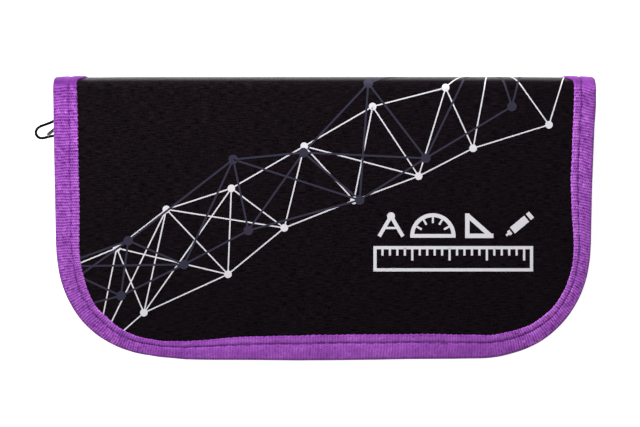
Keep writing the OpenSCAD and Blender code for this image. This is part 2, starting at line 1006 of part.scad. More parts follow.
// Three leads lying on the floor of the tube.
module spare_leads() {
    lead_l = tube_body_l - spigot_l - tube_wall - 2;
    bed_r = tube_d / 2 - tube_wall - spare_d / 2 - pin_gap;
    lead_angle = 40;
    color("#3a3a3e")
        at_tube()
            for (a = [-lead_angle, 0, lead_angle])
                rotate([0, 0, a])
                    translate([bed_r, 0, tube_wall + pin_gap])
                        cylinder(d = spare_d, h = lead_l, $fn = round_fn);
}

// ---------- ruler ----------

// Flat ruler with one bevelled edge towards the zip.
module ruler() {
    bevel_w = 7;
    edge_t = 0.8;
    color("#e4ecf0", 0.7)
        translate([0, ruler_y, lie_z])
            along_x(ruler_l)
                polygon([
                    [-ruler_w / 2, 0], [ruler_w / 2, 0], [ruler_w / 2, ruler_t],
                    [-ruler_w / 2 + bevel_w, ruler_t], [-ruler_w / 2, edge_t]
                ]);
}

// ---------- eraser ----------

module eraser() {
    color("#f2f0ec")
        translate([-strip_x - eraser_l / 2, small_y - eraser_w / 2 + sleeve_t, lie_z + sleeve_t])
            cube([eraser_l, eraser_w - 2 * sleeve_t, eraser_t - 2 * sleeve_t]);
}

// Card sleeve round the eraser, with one end of the rubber showing.
module eraser_sleeve() {
    color("#6a4a9a")
        translate([-strip_x - eraser_l / 2, small_y - eraser_w / 2, lie_z])
            difference() {
                cube([sleeve_l, eraser_w, eraser_t]);
                translate([-1, sleeve_t, sleeve_t])
                    cube([sleeve_l + 2, eraser_w - 2 * sleeve_t, eraser_t - 2 * sleeve_t]);
            }
}

// ---------- sharpener ----------

// Places its children at the sharpener: the origin is under its middle.
module at_sharpener() {
    translate([strip_x, small_y, lie_z])
        children();
}

// Block with a conical hole for the pencil, a waist for the fingers and a seat for the blade.
module sharpener_body() {
    waist = sharp_w * 0.8;
    mouth_z = sharp_t / 2 - 0.4;
    color("#b8b9bd")
        at_sharpener()
            difference() {
                linear_extrude(seat_z)
                    polygon([
                        [-sharp_l / 2, -sharp_w / 2], [-sharp_l / 6, -waist / 2],
                        [sharp_l / 6, -waist / 2], [sharp_l / 2, -sharp_w / 2],
                        [sharp_l / 2, sharp_w / 2], [sharp_l / 6, waist / 2],
                        [-sharp_l / 6, waist / 2], [-sharp_l / 2, sharp_w / 2]
                    ]);
                translate([-sharp_l / 2 - eps, 0, mouth_z])
                    rotate([0, 90, 0])
                        cylinder(d1 = groove_d - 1, d2 = 1.6, h = sharp_l - 2, $fn = round_fn);
                translate([0, 0, seat_z - blade_screw_l - pin_gap])
                    cylinder(d = blade_screw_d + 2 * pin_gap, h = sharp_t, $fn = round_fn);
            }
}

module sharpener_blade() {
    blade_w = sharp_w * 0.6;
    color("#d5d6da")
        at_sharpener()
            translate([0, 0, seat_z])
                linear_extrude(blade_t)
                    difference() {
                        translate([-sharp_l / 2 + blade_inset, -blade_w / 2])
                            square([sharp_l - 2 * blade_inset, blade_w]);
                        circle(d = blade_screw_d + 2 * pin_gap, $fn = round_fn);
                    }
}

module sharpener_screw() {
    color("#caa85c")
        at_sharpener()
            translate([0, 0, sharp_t - blade_screw_t]) {
                cylinder(d = 3.8, h = blade_screw_t, $fn = round_fn);
                translate([0, 0, -blade_t - blade_screw_l])
                    cylinder(d = blade_screw_d, h = blade_t + blade_screw_l + eps, $fn = round_fn);
            }
}

// ---------- set square ----------

module at_square() {
    on_front()
        translate([0, square_y, square_z])
            children();
}

// Right-angled triangle with its long edge towards the spine.
module set_square() {
    color("#e6eef2", 0.6)
        at_square()
            linear_extrude(square_t)
                difference() {
                    polygon([[-square_l / 2, 0], [square_l / 2, 0], [0, -square_l / 2]]);
                    translate([0, -square_l / 2 * 0.3])
                        polygon([[-window_l / 2, 0], [window_l / 2, 0], [0, -window_l / 2]]);
                }
}

back_cloth();
back_board();
back_lining();
back_binding();
back_fold();
back_fold_binding();
spine_cloth();
spine_board();
spine_lining();
spine_binding();
front_fold();
front_fold_binding();
front_cloth();
front_board();
front_lining();
front_binding();
zip_tape_back();
zip_teeth_back();
zip_stops_back();
zip_tape_front();
zip_teeth_front();
zip_stops_front();
zip_slider();
zip_tab();
zip_cord();
elastic_left();
elastic_right();
clear_pocket();
pocket_gusset();
pocket_hem();
compass_grip();
compass_yoke();
compass_pins();
needle_leg();
lead_leg();
needle_socket();
lead_socket();
needle_screw();
lead_screw();
compass_needle();
compass_lead();
pencil_barrel();
pencil_lead();
tube_body();
tube_cap();
spare_leads();
ruler();
eraser();
eraser_sleeve();
sharpener_body();
sharpener_blade();
sharpener_screw();
set_square();
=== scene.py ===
"""Zip-around drafting instrument case: cloth, binding, print, zip, straps and finishes round the solid frame.

Lengths are in millimetres up to the moment that a mesh is made. The outside of the case is one flat cloth,
wrapped over the cover, the fold and the spine: u runs along the spine, v from the cover over the fold and
down the spine, and h stands off the cloth. The front half and the back half are mirror images about the
height MID_Z."""
import json
import math
import bpy
import numpy as np
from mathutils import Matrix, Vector

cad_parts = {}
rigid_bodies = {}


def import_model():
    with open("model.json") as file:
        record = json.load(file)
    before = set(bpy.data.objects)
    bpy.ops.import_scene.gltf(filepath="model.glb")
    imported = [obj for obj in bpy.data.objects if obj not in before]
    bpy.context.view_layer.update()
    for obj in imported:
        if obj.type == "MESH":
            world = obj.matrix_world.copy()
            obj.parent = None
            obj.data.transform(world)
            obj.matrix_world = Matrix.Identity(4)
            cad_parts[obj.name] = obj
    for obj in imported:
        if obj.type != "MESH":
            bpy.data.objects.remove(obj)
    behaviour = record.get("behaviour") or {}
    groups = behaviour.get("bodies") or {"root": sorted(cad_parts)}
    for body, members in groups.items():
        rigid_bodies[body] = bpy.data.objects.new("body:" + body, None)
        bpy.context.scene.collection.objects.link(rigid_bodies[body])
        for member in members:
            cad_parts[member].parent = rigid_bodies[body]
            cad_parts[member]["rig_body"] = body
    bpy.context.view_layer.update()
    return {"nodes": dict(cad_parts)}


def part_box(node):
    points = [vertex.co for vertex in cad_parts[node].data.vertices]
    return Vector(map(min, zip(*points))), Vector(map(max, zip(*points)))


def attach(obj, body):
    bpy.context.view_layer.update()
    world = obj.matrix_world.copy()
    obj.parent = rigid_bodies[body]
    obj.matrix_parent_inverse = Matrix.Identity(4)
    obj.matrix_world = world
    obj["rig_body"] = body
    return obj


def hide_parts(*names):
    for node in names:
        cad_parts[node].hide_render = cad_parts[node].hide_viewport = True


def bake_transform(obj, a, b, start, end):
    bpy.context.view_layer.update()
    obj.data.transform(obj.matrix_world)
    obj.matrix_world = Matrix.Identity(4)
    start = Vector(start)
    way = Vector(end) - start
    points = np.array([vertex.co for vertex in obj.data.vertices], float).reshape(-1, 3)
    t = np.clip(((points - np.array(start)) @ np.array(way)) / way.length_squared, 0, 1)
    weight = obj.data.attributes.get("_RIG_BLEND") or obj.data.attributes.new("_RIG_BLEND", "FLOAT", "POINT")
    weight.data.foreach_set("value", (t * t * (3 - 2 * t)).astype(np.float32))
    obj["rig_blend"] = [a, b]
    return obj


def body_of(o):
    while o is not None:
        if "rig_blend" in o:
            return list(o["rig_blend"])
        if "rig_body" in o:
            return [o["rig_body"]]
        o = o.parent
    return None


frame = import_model()
SCENE = bpy.context.scene

# ---------- sizes of the case ----------
MM = 0.001
CASE_W = 220.0
CASE_D = 117.0
CASE_H = 25.0
MID_Z = CASE_H / 2
CORNER_R = 45.0
LEAN = math.radians(1)
FOLD_R = 5.5
TAPE_T = 0.6
TAPE_W = 10.0
INSIDE_Z = 3.2
CLOTH_Z = CASE_H - TAPE_T
FOLD_Y = CASE_D / 2 - TAPE_T - FOLD_R
FOLD_Z = CLOTH_Z - FOLD_R
# The sewing draws the long edge in by this much from the solids' edge.
DRAWN_IN = 0.6
EDGE_Y = DRAWN_IN - CASE_D / 2
CORNER_Y = EDGE_Y + CORNER_R
TANGENT_Y = CORNER_Y - CORNER_R * math.sin(LEAN)
CORNER_X = CASE_W / 2 - (FOLD_Y - TANGENT_Y) * math.tan(LEAN) - CORNER_R * math.cos(LEAN)
V_FOLD = FOLD_R * math.pi / 2
V_MID = V_FOLD + FOLD_Z - MID_Z
FRONT, BACK = "front", "back"


# ---------- camera ----------
CAMERA_AT = (-1.34, 2.18, CASE_H + 902.5)
LENS = 125
SENSOR_W = 36


def add_object(name, data):
    """A new object in the scene."""
    thing = bpy.data.objects.new(name, data)
    SCENE.collection.objects.link(thing)
    return thing


def make_camera():
    """Looks straight down on the case, with the spine at the top of the picture."""
    data = bpy.data.cameras.new("camera")
    data.lens = LENS
    data.sensor_width = SENSOR_W
    camera = add_object("camera", data)
    camera.location = np.array(CAMERA_AT) * MM
    SCENE.camera = camera


make_camera()
SCENE.view_settings.view_transform = "Standard"


# ---------- meshes ----------
def smooth(x):
    """0 below 0, 1 above 1 and a smooth step between them."""
    x = np.clip(x, 0, 1)
    return x * x * (3 - 2 * x)


def grid_quads(rows, cols, round_cols=False):
    """Corner numbers of the quads of a grid of points, whose rows may close to rings."""
    number = np.arange(rows * cols).reshape(rows, cols)
    if round_cols:
        number = np.concatenate([number, number[:, :1]], 1)
    return np.stack([number[:-1, :-1], number[1:, :-1], number[1:, 1:], number[:-1, 1:]], -1).reshape(-1, 4)


def run_along(*axes):
    """Length of a line up to each of its points, from its coordinates."""
    steps = sum(np.diff(axis) ** 2 for axis in axes)
    return np.concatenate([[0], np.cumsum(np.sqrt(steps))])


def pairs(rows, cols):
    """Grid of the pairs of a value for each row and a value for each column."""
    return np.stack(np.broadcast_arrays(rows[:, None], cols[None, :]), -1)


def level_grid(flat, z):
    """The points of a grid of flat places at the height z."""
    return np.concatenate([flat, np.broadcast_to(z, flat.shape[:2])[..., None]], -1)


def node_box(*nodes):
    """Lowest and highest corner of some nodes together."""
    boxes = np.array([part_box(node) for node in nodes]) / MM
    return boxes[:, 0].min(0), boxes[:, 1].max(0)


def make_piece(name, points, faces, body, slot, material, uv=None, shade=None, rounded=True):
    """A mesh from points in millimetres, its faces turned outwards by the sign of their volume."""
    points = points.reshape(-1, 3)
    a, b, c, d = (points[faces[:, k]] for k in range(4))
    if (a * (np.cross(b, c) + np.cross(c, d))).sum() < 0:
        faces = faces[:, ::-1]
    mesh = bpy.data.meshes.new(name)
    mesh.from_pydata((points * MM).tolist(), [], faces.tolist())
    mesh.polygons.foreach_set("use_smooth", np.full(len(mesh.polygons), rounded))
    if uv is not None:
        corner = np.empty(len(mesh.loops), int)
        mesh.loops.foreach_get("vertex_index", corner)
        layer = mesh.uv_layers.new(name="flat")
        layer.data.foreach_set("uv", uv.reshape(-1, 2)[corner].ravel())
    if shade is not None:
        attribute = mesh.attributes.new("shade", "FLOAT", "POINT")
        attribute.data.foreach_set("value", shade.astype(np.float32).ravel())
    mesh.materials.append(material)
    mesh.update()
    piece = add_object(name, mesh)
    if body:
        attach(piece, body)
    return piece


def shell_parts(top, bottom):
    """Points and quads of a closed sheet between two grids of the same size, with walls along its rim."""
    rows, cols = top.shape[:2]
    count = rows * cols
    faces = grid_quads(rows, cols)
    number = np.arange(count).reshape(rows, cols)
    ring = np.concatenate([number[0], number[1:, -1], number[-1, -2::-1], number[-2:0:-1, 0]])
    nxt = np.roll(ring, -1)
    walls = np.stack([ring, nxt, nxt + count, ring + count], 1)
    points = np.concatenate([top.reshape(-1, 3), bottom.reshape(-1, 3)])
    return points, np.concatenate([faces, faces[:, ::-1] + count, walls])


def twice(values):
    """The values of a grid for both faces of a sheet."""
    return None if values is None else np.stack([values, values])


def make_sheet(name, top, bottom, body, slot, material, uv=None, shade=None):
    """A closed sheet from two grids, with the flat place of each point as its UV."""
    return make_piece(name, *shell_parts(top, bottom), body, slot, material, twice(uv), twice(shade))


def tube_grid(path, radius, sides):
    """Rings of points round a path: each ring lies square to the path, turned without twist."""
    run = np.gradient(path, axis=0)
    run /= np.linalg.norm(run, axis=1)[:, None]
    up = np.cross(run, np.where(np.abs(run[:, 2:]) < 0.9, [[0, 0, 1.0]], [[1.0, 0, 0]]))
    up /= np.linalg.norm(up, axis=1)[:, None]
    side = np.cross(run, up)
    a = np.linspace(0, 2 * math.pi, sides, endpoint=False)[None, :, None]
    ring = np.cos(a) * up[:, None] + np.sin(a) * side[:, None]
    return path[:, None] + np.reshape(radius, (-1, 1, 1)) * ring


def with_ends(rings):
    """The rings of a tube, with one more at each end that is shrunk to a point."""
    ends = [np.repeat(ring.mean(1, keepdims=True), rings.shape[1], 1) for ring in (rings[:1], rings[-1:])]
    return np.concatenate([ends[0], rings, ends[1]])


def tube_parts(rings):
    """Points and quads of a closed tube."""
    rings = with_ends(rings)
    return rings.reshape(-1, 3), grid_quads(*rings.shape[:2], round_cols=True)


def joined(parts):
    """Several point and quad lists as one."""
    offset, points, faces = 0, [], []
    for p, f in parts:
        points.append(p.reshape(-1, 3))
        faces.append(f + offset)
        offset += len(points[-1])
    return np.concatenate(points), np.concatenate(faces)


# ---------- the wrapped cloth ----------
def edge_distance(u, v):
    """Distance inwards from the outline of a cover, from its sides only on the fold and spine."""
    y = FOLD_Y + np.minimum(v, 0)
    x = np.abs(u)
    side = (CASE_W / 2 - (FOLD_Y - y) * math.tan(LEAN) - x) * math.cos(LEAN)
    straight = np.minimum(side, y - EDGE_Y)
    corner = CORNER_R - np.hypot(x - CORNER_X, y - CORNER_Y)
    return np.where((x > CORNER_X) & (y < CORNER_Y), corner, straight)


def crown(u, v):
    """Height by which the padded cover swells towards its middle, with two slow waves in it."""
    swell = smooth((edge_distance(u, v) - 7) / 34)
    wave = 0.05 * np.sin(u / 19 + 1.3) * np.sin(v / 23 + 0.4)
    return (0.55 * swell + wave * swell) * (1 - 0.7 * smooth(v / V_FOLD))


def wrap(u, v, h, half):
    """Point of the case over (u, v): level cover, quarter circle over the fold, upright spine."""
    u, v, h = np.broadcast_arrays(u, v, h)
    turn = np.clip(v, 0, V_FOLD) / FOLD_R
    y = FOLD_Y + np.minimum(v, 0) + (FOLD_R + h) * np.sin(turn)
    z = FOLD_Z + (FOLD_R + h) * np.cos(turn) - np.maximum(v - V_FOLD, 0)
    return np.stack([u, y, z if half == FRONT else CASE_H - z], -1)


def half_width(v, inset):
    """Half the width of the cloth at v, inset from the outline."""
    y = FOLD_Y + np.minimum(v, 0)
    side = CASE_W / 2 - (FOLD_Y - y) * math.tan(LEAN) - inset / math.cos(LEAN)
    drop = np.clip((CORNER_R - inset) ** 2 - (CORNER_Y - y) ** 2, 0, None)
    return np.where(y < TANGENT_Y, CORNER_X + np.sqrt(drop), side)


FOLD_ROWS = 26


def cloth_grid(inset, step):
    """Flat places (u, v) of a grid that fills the outline, closer together at the corners and the fold."""
    start = EDGE_Y + inset - FOLD_Y
    corner = start + (CORNER_R - inset) * (1 - np.cos(np.linspace(0, math.pi / 2, 22)))
    flat = np.arange(corner[-1] + step, -1, step)
    v = np.concatenate([corner, flat, np.linspace(0, V_MID, FOLD_ROWS)])
    t = np.linspace(-1, 1, int(CASE_W / step))
    return t * half_width(v, inset)[:, None], np.repeat(v[:, None], len(t), 1)


def cross_fold(piece, half):
    """The piece bends with the fold between the spine and its cover."""
    z0, z1 = (FOLD_Z, CLOTH_Z) if half == FRONT else (CASE_H - FOLD_Z, CASE_H - CLOTH_Z)
    spine_end = (0, (FOLD_Y + FOLD_R) * MM, z0 * MM)
    cover_end = (0, FOLD_Y * MM, z1 * MM)
    if half == FRONT:
        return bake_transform(piece, "spine", "front", spine_end, cover_end)
    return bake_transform(piece, "back", "spine", cover_end, spine_end)


# ---------- materials ----------
def srgb(values):
    """Linear colour from display values of 0 to 255."""
    c = [v / 255 for v in values]
    return tuple(x / 12.92 if x <= 0.04045 else ((x + 0.055) / 1.055) ** 2.4 for x in c) + (1.0,)


class Nodes:
    """Short names for the nodes of one material."""

    def __init__(self, name):
        self.material = bpy.data.materials.new(name)
        self.material.use_nodes = True
        self.tree = self.material.node_tree
        self.shader = self.tree.nodes["Principled BSDF"]

    def plug(self, socket, value):
        """Links an output to the socket, or gives it a constant."""
        if hasattr(value, "is_output"):
            self.tree.links.new(value, socket)
        else:
            socket.default_value = value

    def add(self, kind, inputs=None, **settings):
        node = self.tree.nodes.new("ShaderNode" + kind)
        for key, value in settings.items():
            setattr(node, key, value)
        for key, value in (inputs or {}).items():
            self.plug(node.inputs[key], value)
        return node

    def set(self, **values):
        """Constant values or links on the shader's own sockets."""
        for key, value in values.items():
            self.plug(self.shader.inputs[key.replace("_", " ")], value)

    def place(self, kind="UV"):
        return self.add("TexCoord").outputs[kind]

    def scaled(self, vector, x, y, z=1.0, turn=0.0):
        """The place stretched by a factor in each direction."""
        inputs = {"Vector": vector, "Scale": (x, y, z), "Rotation": (0, 0, turn)}
        return self.add("Mapping", inputs).outputs[0]

    def noise(self, vector, scale, detail=2.0, rough=0.5):
        inputs = {"Vector": vector, "Scale": scale, "Detail": detail, "Roughness": rough}
        return self.add("TexNoise", inputs).outputs["Fac"]

    def wave(self, vector, scale, direction="X", distortion=0.0, detail=0.0):
        inputs = {"Vector": vector, "Scale": scale, "Distortion": distortion, "Detail": detail}
        return self.add("TexWave", inputs, bands_direction=direction).outputs["Fac"]

    def math(self, kind, a, b):
        return self.add("Math", {0: a, 1: b}, operation=kind).outputs[0]

    def plus(self, a, b, share=1.0):
        """a + share * b."""
        return self.math("ADD", a, b if share == 1 else self.math("MULTIPLY", b, share))

    def spread(self, value, low, high, to_low=0.0, to_high=1.0):
        """The value stretched from one range to another, and held inside it."""
        inputs = {"Value": value, "From Min": low, "From Max": high, "To Min": to_low, "To Max": to_high}
        return self.add("MapRange", inputs).outputs[0]

    def mix(self, factor, a, b):
        return self.add("Mix", {0: factor, 6: a, 7: b}, data_type="RGBA").outputs[2]

    def bump(self, height, distance, strength):
        inputs = {"Height": height, "Distance": distance * MM, "Strength": strength}
        self.set(Normal=self.add("Bump", inputs).outputs[0])

    def shade(self):
        return self.add("Attribute", attribute_name="shade").outputs["Fac"]


def weave_height(n, place, threads, slub=0.5):
    """Plain weave: threads of both directions, thicker and thinner along their run."""
    warp = n.wave(n.scaled(place, threads, threads), 1.0, "X")
    weft = n.wave(n.scaled(place, threads, threads), 1.0, "Y")
    streak = n.noise(n.scaled(place, threads * 0.06, threads * 1.1), 1.0, 3.0)
    return n.plus(n.math("MULTIPLY", n.plus(warp, weft), 0.5), streak, slub)


def cloth_material(name, colour, worn, threads=11.0, rough=0.75, gloss=0.03):
    """Coated plain weave: fine crossing threads, level slubs, and a shine where the shade marks a fold."""
    n = Nodes(name)
    place = n.place()
    height = weave_height(n, place, threads)
    patch = n.noise(n.scaled(place, 0.9, 0.9), 0.1, 3.0)
    slubs = n.noise(n.scaled(place, 0.28, 2.6), 1.0, 3.0, 0.6)
    picks = n.noise(n.scaled(place, 2.2, 0.5), 1.0, 2.0)
    tone = n.plus(n.math("MULTIPLY", n.spread(slubs, 0.36, 0.68), 0.9), patch, 0.2)
    tone = n.plus(tone, n.math("SUBTRACT", picks, 0.5), 1.1)
    fold = n.shade()
    n.set(Base_Color=n.mix(tone, srgb(colour), srgb(worn)), Roughness=n.spread(fold, 0, 1, rough, 0.42),
          Sheen_Weight=0.05, Sheen_Roughness=0.3, Specular_IOR_Level=n.spread(fold, 0, 1, gloss, 0.8))
    n.bump(height, 0.09, 0.7)
    return n.material


def ink_material(name, colour, faded):
    """Printed ink: it takes the weave of the cloth and is a little thin on the thread crowns."""
    n = Nodes(name)
    place = n.place()
    thin = n.noise(n.scaled(place, 2.4, 5.0), 1.0, 3.0)
    n.set(Base_Color=n.mix(n.spread(thin, 0.5, 0.75), srgb(colour), srgb(faded)), Roughness=0.6,
          Specular_IOR_Level=0.3)
    n.bump(weave_height(n, place, 11.0, 0.3), 0.07, 0.5)
    return n.material


def tape_material(name, deep, mid, pale):
    """Ribbed tape coloured from deep through mid to pale by the shade attribute, which carries painted shade
    in the grooves and painted highlights on the rib crowns, with fine slanted threads over them.
    """
    n = Nodes(name)
    place = n.place()
    shade = n.shade()
    twill = n.wave(n.scaled(place, 1.0, 1.0, 1.0, math.radians(28)), 0.62, "X", 1.2, 1.0)
    fuzz = n.noise(n.scaled(place, 2.6, 2.6), 1.0, 3.0)
    patch = n.noise(n.scaled(place, 0.1, 0.2), 1.0, 2.0)
    tone = n.plus(shade, n.math("SUBTRACT", n.plus(fuzz, patch), 1.0), 0.4)
    low = n.mix(n.spread(tone, 0.0, 0.5), srgb(deep), srgb(mid))
    n.set(Base_Color=n.mix(n.spread(tone, 0.5, 1.0), low, srgb(pale)), Roughness=0.58, Sheen_Weight=0.06,
          Sheen_Roughness=0.35, Specular_IOR_Level=0.25)
    n.bump(n.plus(fuzz, twill, 0.6), 0.06, 0.6)
    return n.material


def plain_material(name, colour, other, rough, scale, bump=0.02, metal=0.0, stretch=(1.0, 1.0, 1.0), **more):
    """Colour that wanders between two tones in Object space, with a fine grain; stretch makes it brushed."""
    n = Nodes(name)
    place = n.add("Mapping", {"Vector": n.place("Object"), "Scale": stretch}).outputs[0]
    patch = n.noise(place, scale, 4.0, 0.6)
    grain = n.noise(place, scale * 14, 2.0)
    n.set(Base_Color=n.mix(n.spread(patch, 0.35, 0.65), srgb(colour), srgb(other)), Metallic=metal, **more)
    both = n.plus(n.math("MULTIPLY", patch, 0.5), grain, 0.5)
    n.set(Roughness=n.spread(both, 0.3, 0.7, rough * 0.75, min(1.0, rough * 1.25)))
    n.bump(grain, bump, 0.5)
    return n.material


BLACK_CLOTH = cloth_material("printed cloth", (3, 2, 3), (30, 23, 28))
LINING = cloth_material("lining cloth", (34, 32, 40), (48, 46, 56), 7.0)
WHITE_INK = ink_material("white ink", (226, 224, 230), (206, 203, 211))
SLATE_INK = ink_material("slate ink", (51, 48, 65), (44, 42, 56))
PURPLE_TAPE = tape_material("ribbed tape", (90, 32, 112), (163, 82, 190), (230, 146, 250))
THREAD = plain_material("sewing thread", (86, 40, 116), (110, 56, 142), 0.6, 900)
ZIP_CLOTH = cloth_material("zip cloth", (24, 21, 27), (40, 36, 44), 16.0)
ZIP_COIL = plain_material("zip coil", (30, 27, 33), (44, 40, 48), 0.35, 600)
ELASTIC = cloth_material("elastic", (26, 24, 30), (44, 41, 50), 13.0)
CORD = plain_material("braided cord", (10, 10, 11), (22, 21, 23), 0.6, 1500, 0.05, IOR=1.06)
CARDBOARD = plain_material("board", (150, 132, 104), (128, 110, 84), 0.9, 300)
NICKEL = plain_material("nickel plate", (138, 137, 138), (118, 117, 119), 0.36, 400, 0.01, 1.0, (1, 6, 1))
CHROME = plain_material("bright plate", (205, 206, 210), (188, 189, 194), 0.16, 260, 0.008, 1.0, (0.25, 2, 2))
STEEL = plain_material("bare steel", (172, 173, 177), (150, 151, 156), 0.32, 500, 0.01, 1.0, (0.2, 2, 2))
BRASS = plain_material("turned brass", (208, 176, 104), (186, 150, 82), 0.3, 500, 0.01, 1.0)
ALLOY = plain_material("milled alloy", (190, 191, 195), (170, 171, 176), 0.38, 300, 0.02, 1.0, (3, 0.3, 1))
GRAPHITE = plain_material("graphite", (52, 52, 56), (40, 40, 44), 0.42, 700)
LACQUER = plain_material("pencil lacquer", (98, 62, 140), (90, 56, 130), 0.22, 90, 0.004)
CAP = plain_material("moulded cap", (34, 34, 38), (42, 42, 47), 0.45, 300)
WOOD = plain_material("cedar", (216, 178, 132), (194, 152, 104), 0.7, 260, 0.03, stretch=(0.08, 1, 1))
RUBBER = plain_material("white vinyl", (236, 234, 229), (226, 223, 217), 0.72, 220, 0.03)
SLEEVE = plain_material("card sleeve", (98, 60, 150), (90, 54, 140), 0.5, 160, 0.01)


def clear_material(name, tint, rough):
    """Clear plastic with a faint tint and fine scuffs."""
    n = Nodes(name)
    scuff = n.noise(n.place("Object"), 220, 5.0, 0.7)
    n.set(Base_Color=tint, Transmission_Weight=1.0, IOR=1.49,
          Roughness=n.spread(scuff, 0.45, 0.75, rough, rough + 0.16))
    n.bump(scuff, 0.01, 0.4)
    return n.material


CLEAR_PLASTIC = clear_material("clear plastic", (0.93, 0.97, 0.985, 1), 0.03)
FILM = clear_material("clear film", (0.95, 0.97, 0.98, 1), 0.10)


# ---------- pull cord ----------
CORD_D = 1.1
CORD_ROUTE = np.array([
    (-107, 39.8, 12.5), (-107.35, 40.25, 12.5), (-108.1, 40.95, 12.35), (-109.05, 41.3, 11.85),
    (-109.95, 41.15, 11.1), (-110.9, 40.65, 10.15), (-111.9, 40.15, 9.15), (-112.95, 39.75, 8.2),
    (-114.1, 39.4, 7.25), (-115.3, 39, 6.4), (-116.35, 38.7, 5.8), (-117.45, 38.25, 5.4),
    (-118.55, 37.5, 5.1), (-119.2, 36.45, 4.85), (-119.25, 35.25, 4.7), (-118.65, 34.2, 4.65),
    (-117.6, 33.55, 4.6), (-116.35, 33.5, 4.6), (-115.2, 33.75, 4.65), (-113.9, 34.1, 4.75),
    (-112.4, 34.35, 4.9), (-110.9, 34.5, 5.2), (-109.5, 34.7, 5.8), (-108.3, 35.1, 6.7),
    (-107.4, 35.65, 7.75), (-106.8, 36.25, 8.85), (-106.4, 36.8, 9.9), (-106.15, 37.35, 10.9),
    (-106.15, 38.05, 11.8), (-106.4, 38.75, 12.3), (-106.75, 39.35, 12.5), (-107, 39.7, 12.5)])


def smooth_path(points, count):
    """Catmull-Rom curve through the points, sampled evenly by length."""
    p = np.concatenate([2 * points[:1] - points[1:2], points, 2 * points[-1:] - points[-2:-1]])
    t = np.linspace(0, 1, 12, endpoint=False)[None, :, None]
    a, b, c, d = (p[k:len(p) - 3 + k, None] for k in range(4))
    square, cube = 2 * a - 5 * b + 4 * c - d, 3 * b - a - 3 * c + d
    fine = 0.5 * (2 * b + (c - a) * t + square * t ** 2 + cube * t ** 3)
    fine = np.concatenate([fine.reshape(-1, 3), points[-1:]])
    run = run_along(*fine.T)
    even = np.linspace(0, run[-1], count)
    return np.stack([np.interp(even, run, fine[:, k]) for k in range(3)], 1), run[-1]


def make_cord():
    """Braided cord: a tube with shallow crossed strands on it, threaded through the eye of the tab."""
    path, length = smooth_path(CORD_ROUTE, 260)
    sides = 14
    grid = tube_grid(path, CORD_D * 0.53, sides)
    i, k = np.meshgrid(np.arange(len(path)), np.arange(sides), indexing="ij")
    braid = np.cos(i * 0.62 + k * 4 * math.pi / sides) * np.cos(i * 0.62 - k * 4 * math.pi / sides)
    grid = path[:, None] + (grid - path[:, None]) * (1 - 0.05 * (1 - braid))[..., None]
    piece = make_piece("pull_cord", *tube_parts(grid), "tab", "cord", CORD)
    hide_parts("zip_cord")


make_cord()


def make_cloth(half, kind, slot, material, step, heights, nodes):
    """Cloth over the cover, the fold and half the spine, between two heights off the flat cloth. The outer
    one swells with the padding and shines on the fold."""
    u, v = cloth_grid(4.0, step)
    outer = kind == "outer"
    swell = crown(u, v) * (outer and half == FRONT)
    fold = smooth((v - 3.4) / 2.2) * (1 - smooth((v - V_FOLD - 0.5) / 4)) if outer else None
    faces = [wrap(u, v, swell + h, half) for h in heights]
    piece = make_sheet(f"{half}_{kind}_cloth", *faces, None, slot, material, np.stack([u, v], -1), fold)
    cross_fold(piece, half)
    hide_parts(*nodes)


def make_cloths(half):
    """Printed cloth outside, and the lining inside, which ends under the binding."""
    outer = ["back_cloth", "back_fold"] if half == BACK else ["front_cloth", "front_fold", "spine_cloth"]
    inner = ["back_lining"] if half == BACK else ["front_lining", "spine_lining"]
    depth, low = CASE_D - DRAWN_IN, TAPE_T - INSIDE_Z
    make_cloth(half, "outer", "outer_cloth", BLACK_CLOTH, 2.0, (0, -0.5), outer)
    make_cloth(half, "lining", "lining", LINING, 2.5, (low + 0.4, low), inner)


# ---------- binding tape ----------
RIB_PITCH = 1.16
GROOVE_N = 6.5
RIM_R = 1.25
TAPE_INNER = 0.42
TAPE_TOP = 0.62
STITCH_STEP = 5.0
STITCH_L = 3.3
SEAM_START = 4.0
# Along the rim, mid-spine to mid-spine: how far the rim is drawn in and the inner edge lies out towards it.
RIM_AT = (0.0, 0.09, 0.18, 0.20, 0.26, 0.28, 0.31, 0.335, 0.35, 0.37, 0.39, 0.43, 0.475, 0.51, 0.55, 0.58,
          0.62, 0.66, 0.68, 0.71, 0.74, 0.80, 0.82, 0.87, 0.93, 0.95, 0.97, 1.0)
RIM_IN = (0.0, 0.0, 0.1, 0.45, 0.3, 0.6, 1.35, 1.85, 1.5, 0.7, 0.5, 0.45, 0.25, 0.33, 0.55, 0.8,
          0.9, 1.15, 1.2, 0.6, 0.4, 0.35, 0.0, -0.05, -0.6, -1.1, -1.0, -0.6)
EDGE_AT = (0.03, 0.12, 0.155, 0.19, 0.215, 0.23, 0.26, 0.275, 0.30, 0.32, 0.35, 0.38, 0.41, 0.44, 0.47,
           0.50, 0.56, 0.61, 0.65, 0.68, 0.71, 0.74, 0.77, 0.80, 0.815, 0.83, 0.86, 0.88, 0.95)
EDGE_OUT = (0.0, -0.3, 0.0, 0.15, 0.4, 0.75, 1.5, 1.5, 2.6, 3.1, 3.2, 2.0, 0.8, -0.05, -0.4,
            -0.75, -0.55, -0.5, 0.2, 0.95, 1.6, 2.55, 2.9, 2.85, 2.85, 2.4, 1.35, 0.9, 0.85)
# Painted shade along the rim: how much darker the tape is coloured at each place, in place of uneven light on
# it, most at the left end over the fold.
PAINTED_RIM_SHADE_AT = (0.0, 0.03, 0.045, 0.09, 0.13, 0.17, 0.22, 0.28, 0.36, 0.42, 0.56, 0.61, 0.68, 0.73, 0.93,
           0.955, 0.965, 1.0)
PAINTED_RIM_SHADE = (0.10, 0.17, 0.09, 0.09, 0.05, 0.0, 0.05, 0.07, 0.06, 0.0, 0.0, 0.05, 0.05, 0.0, 0.0,
        0.07, 0.02, 0.0)


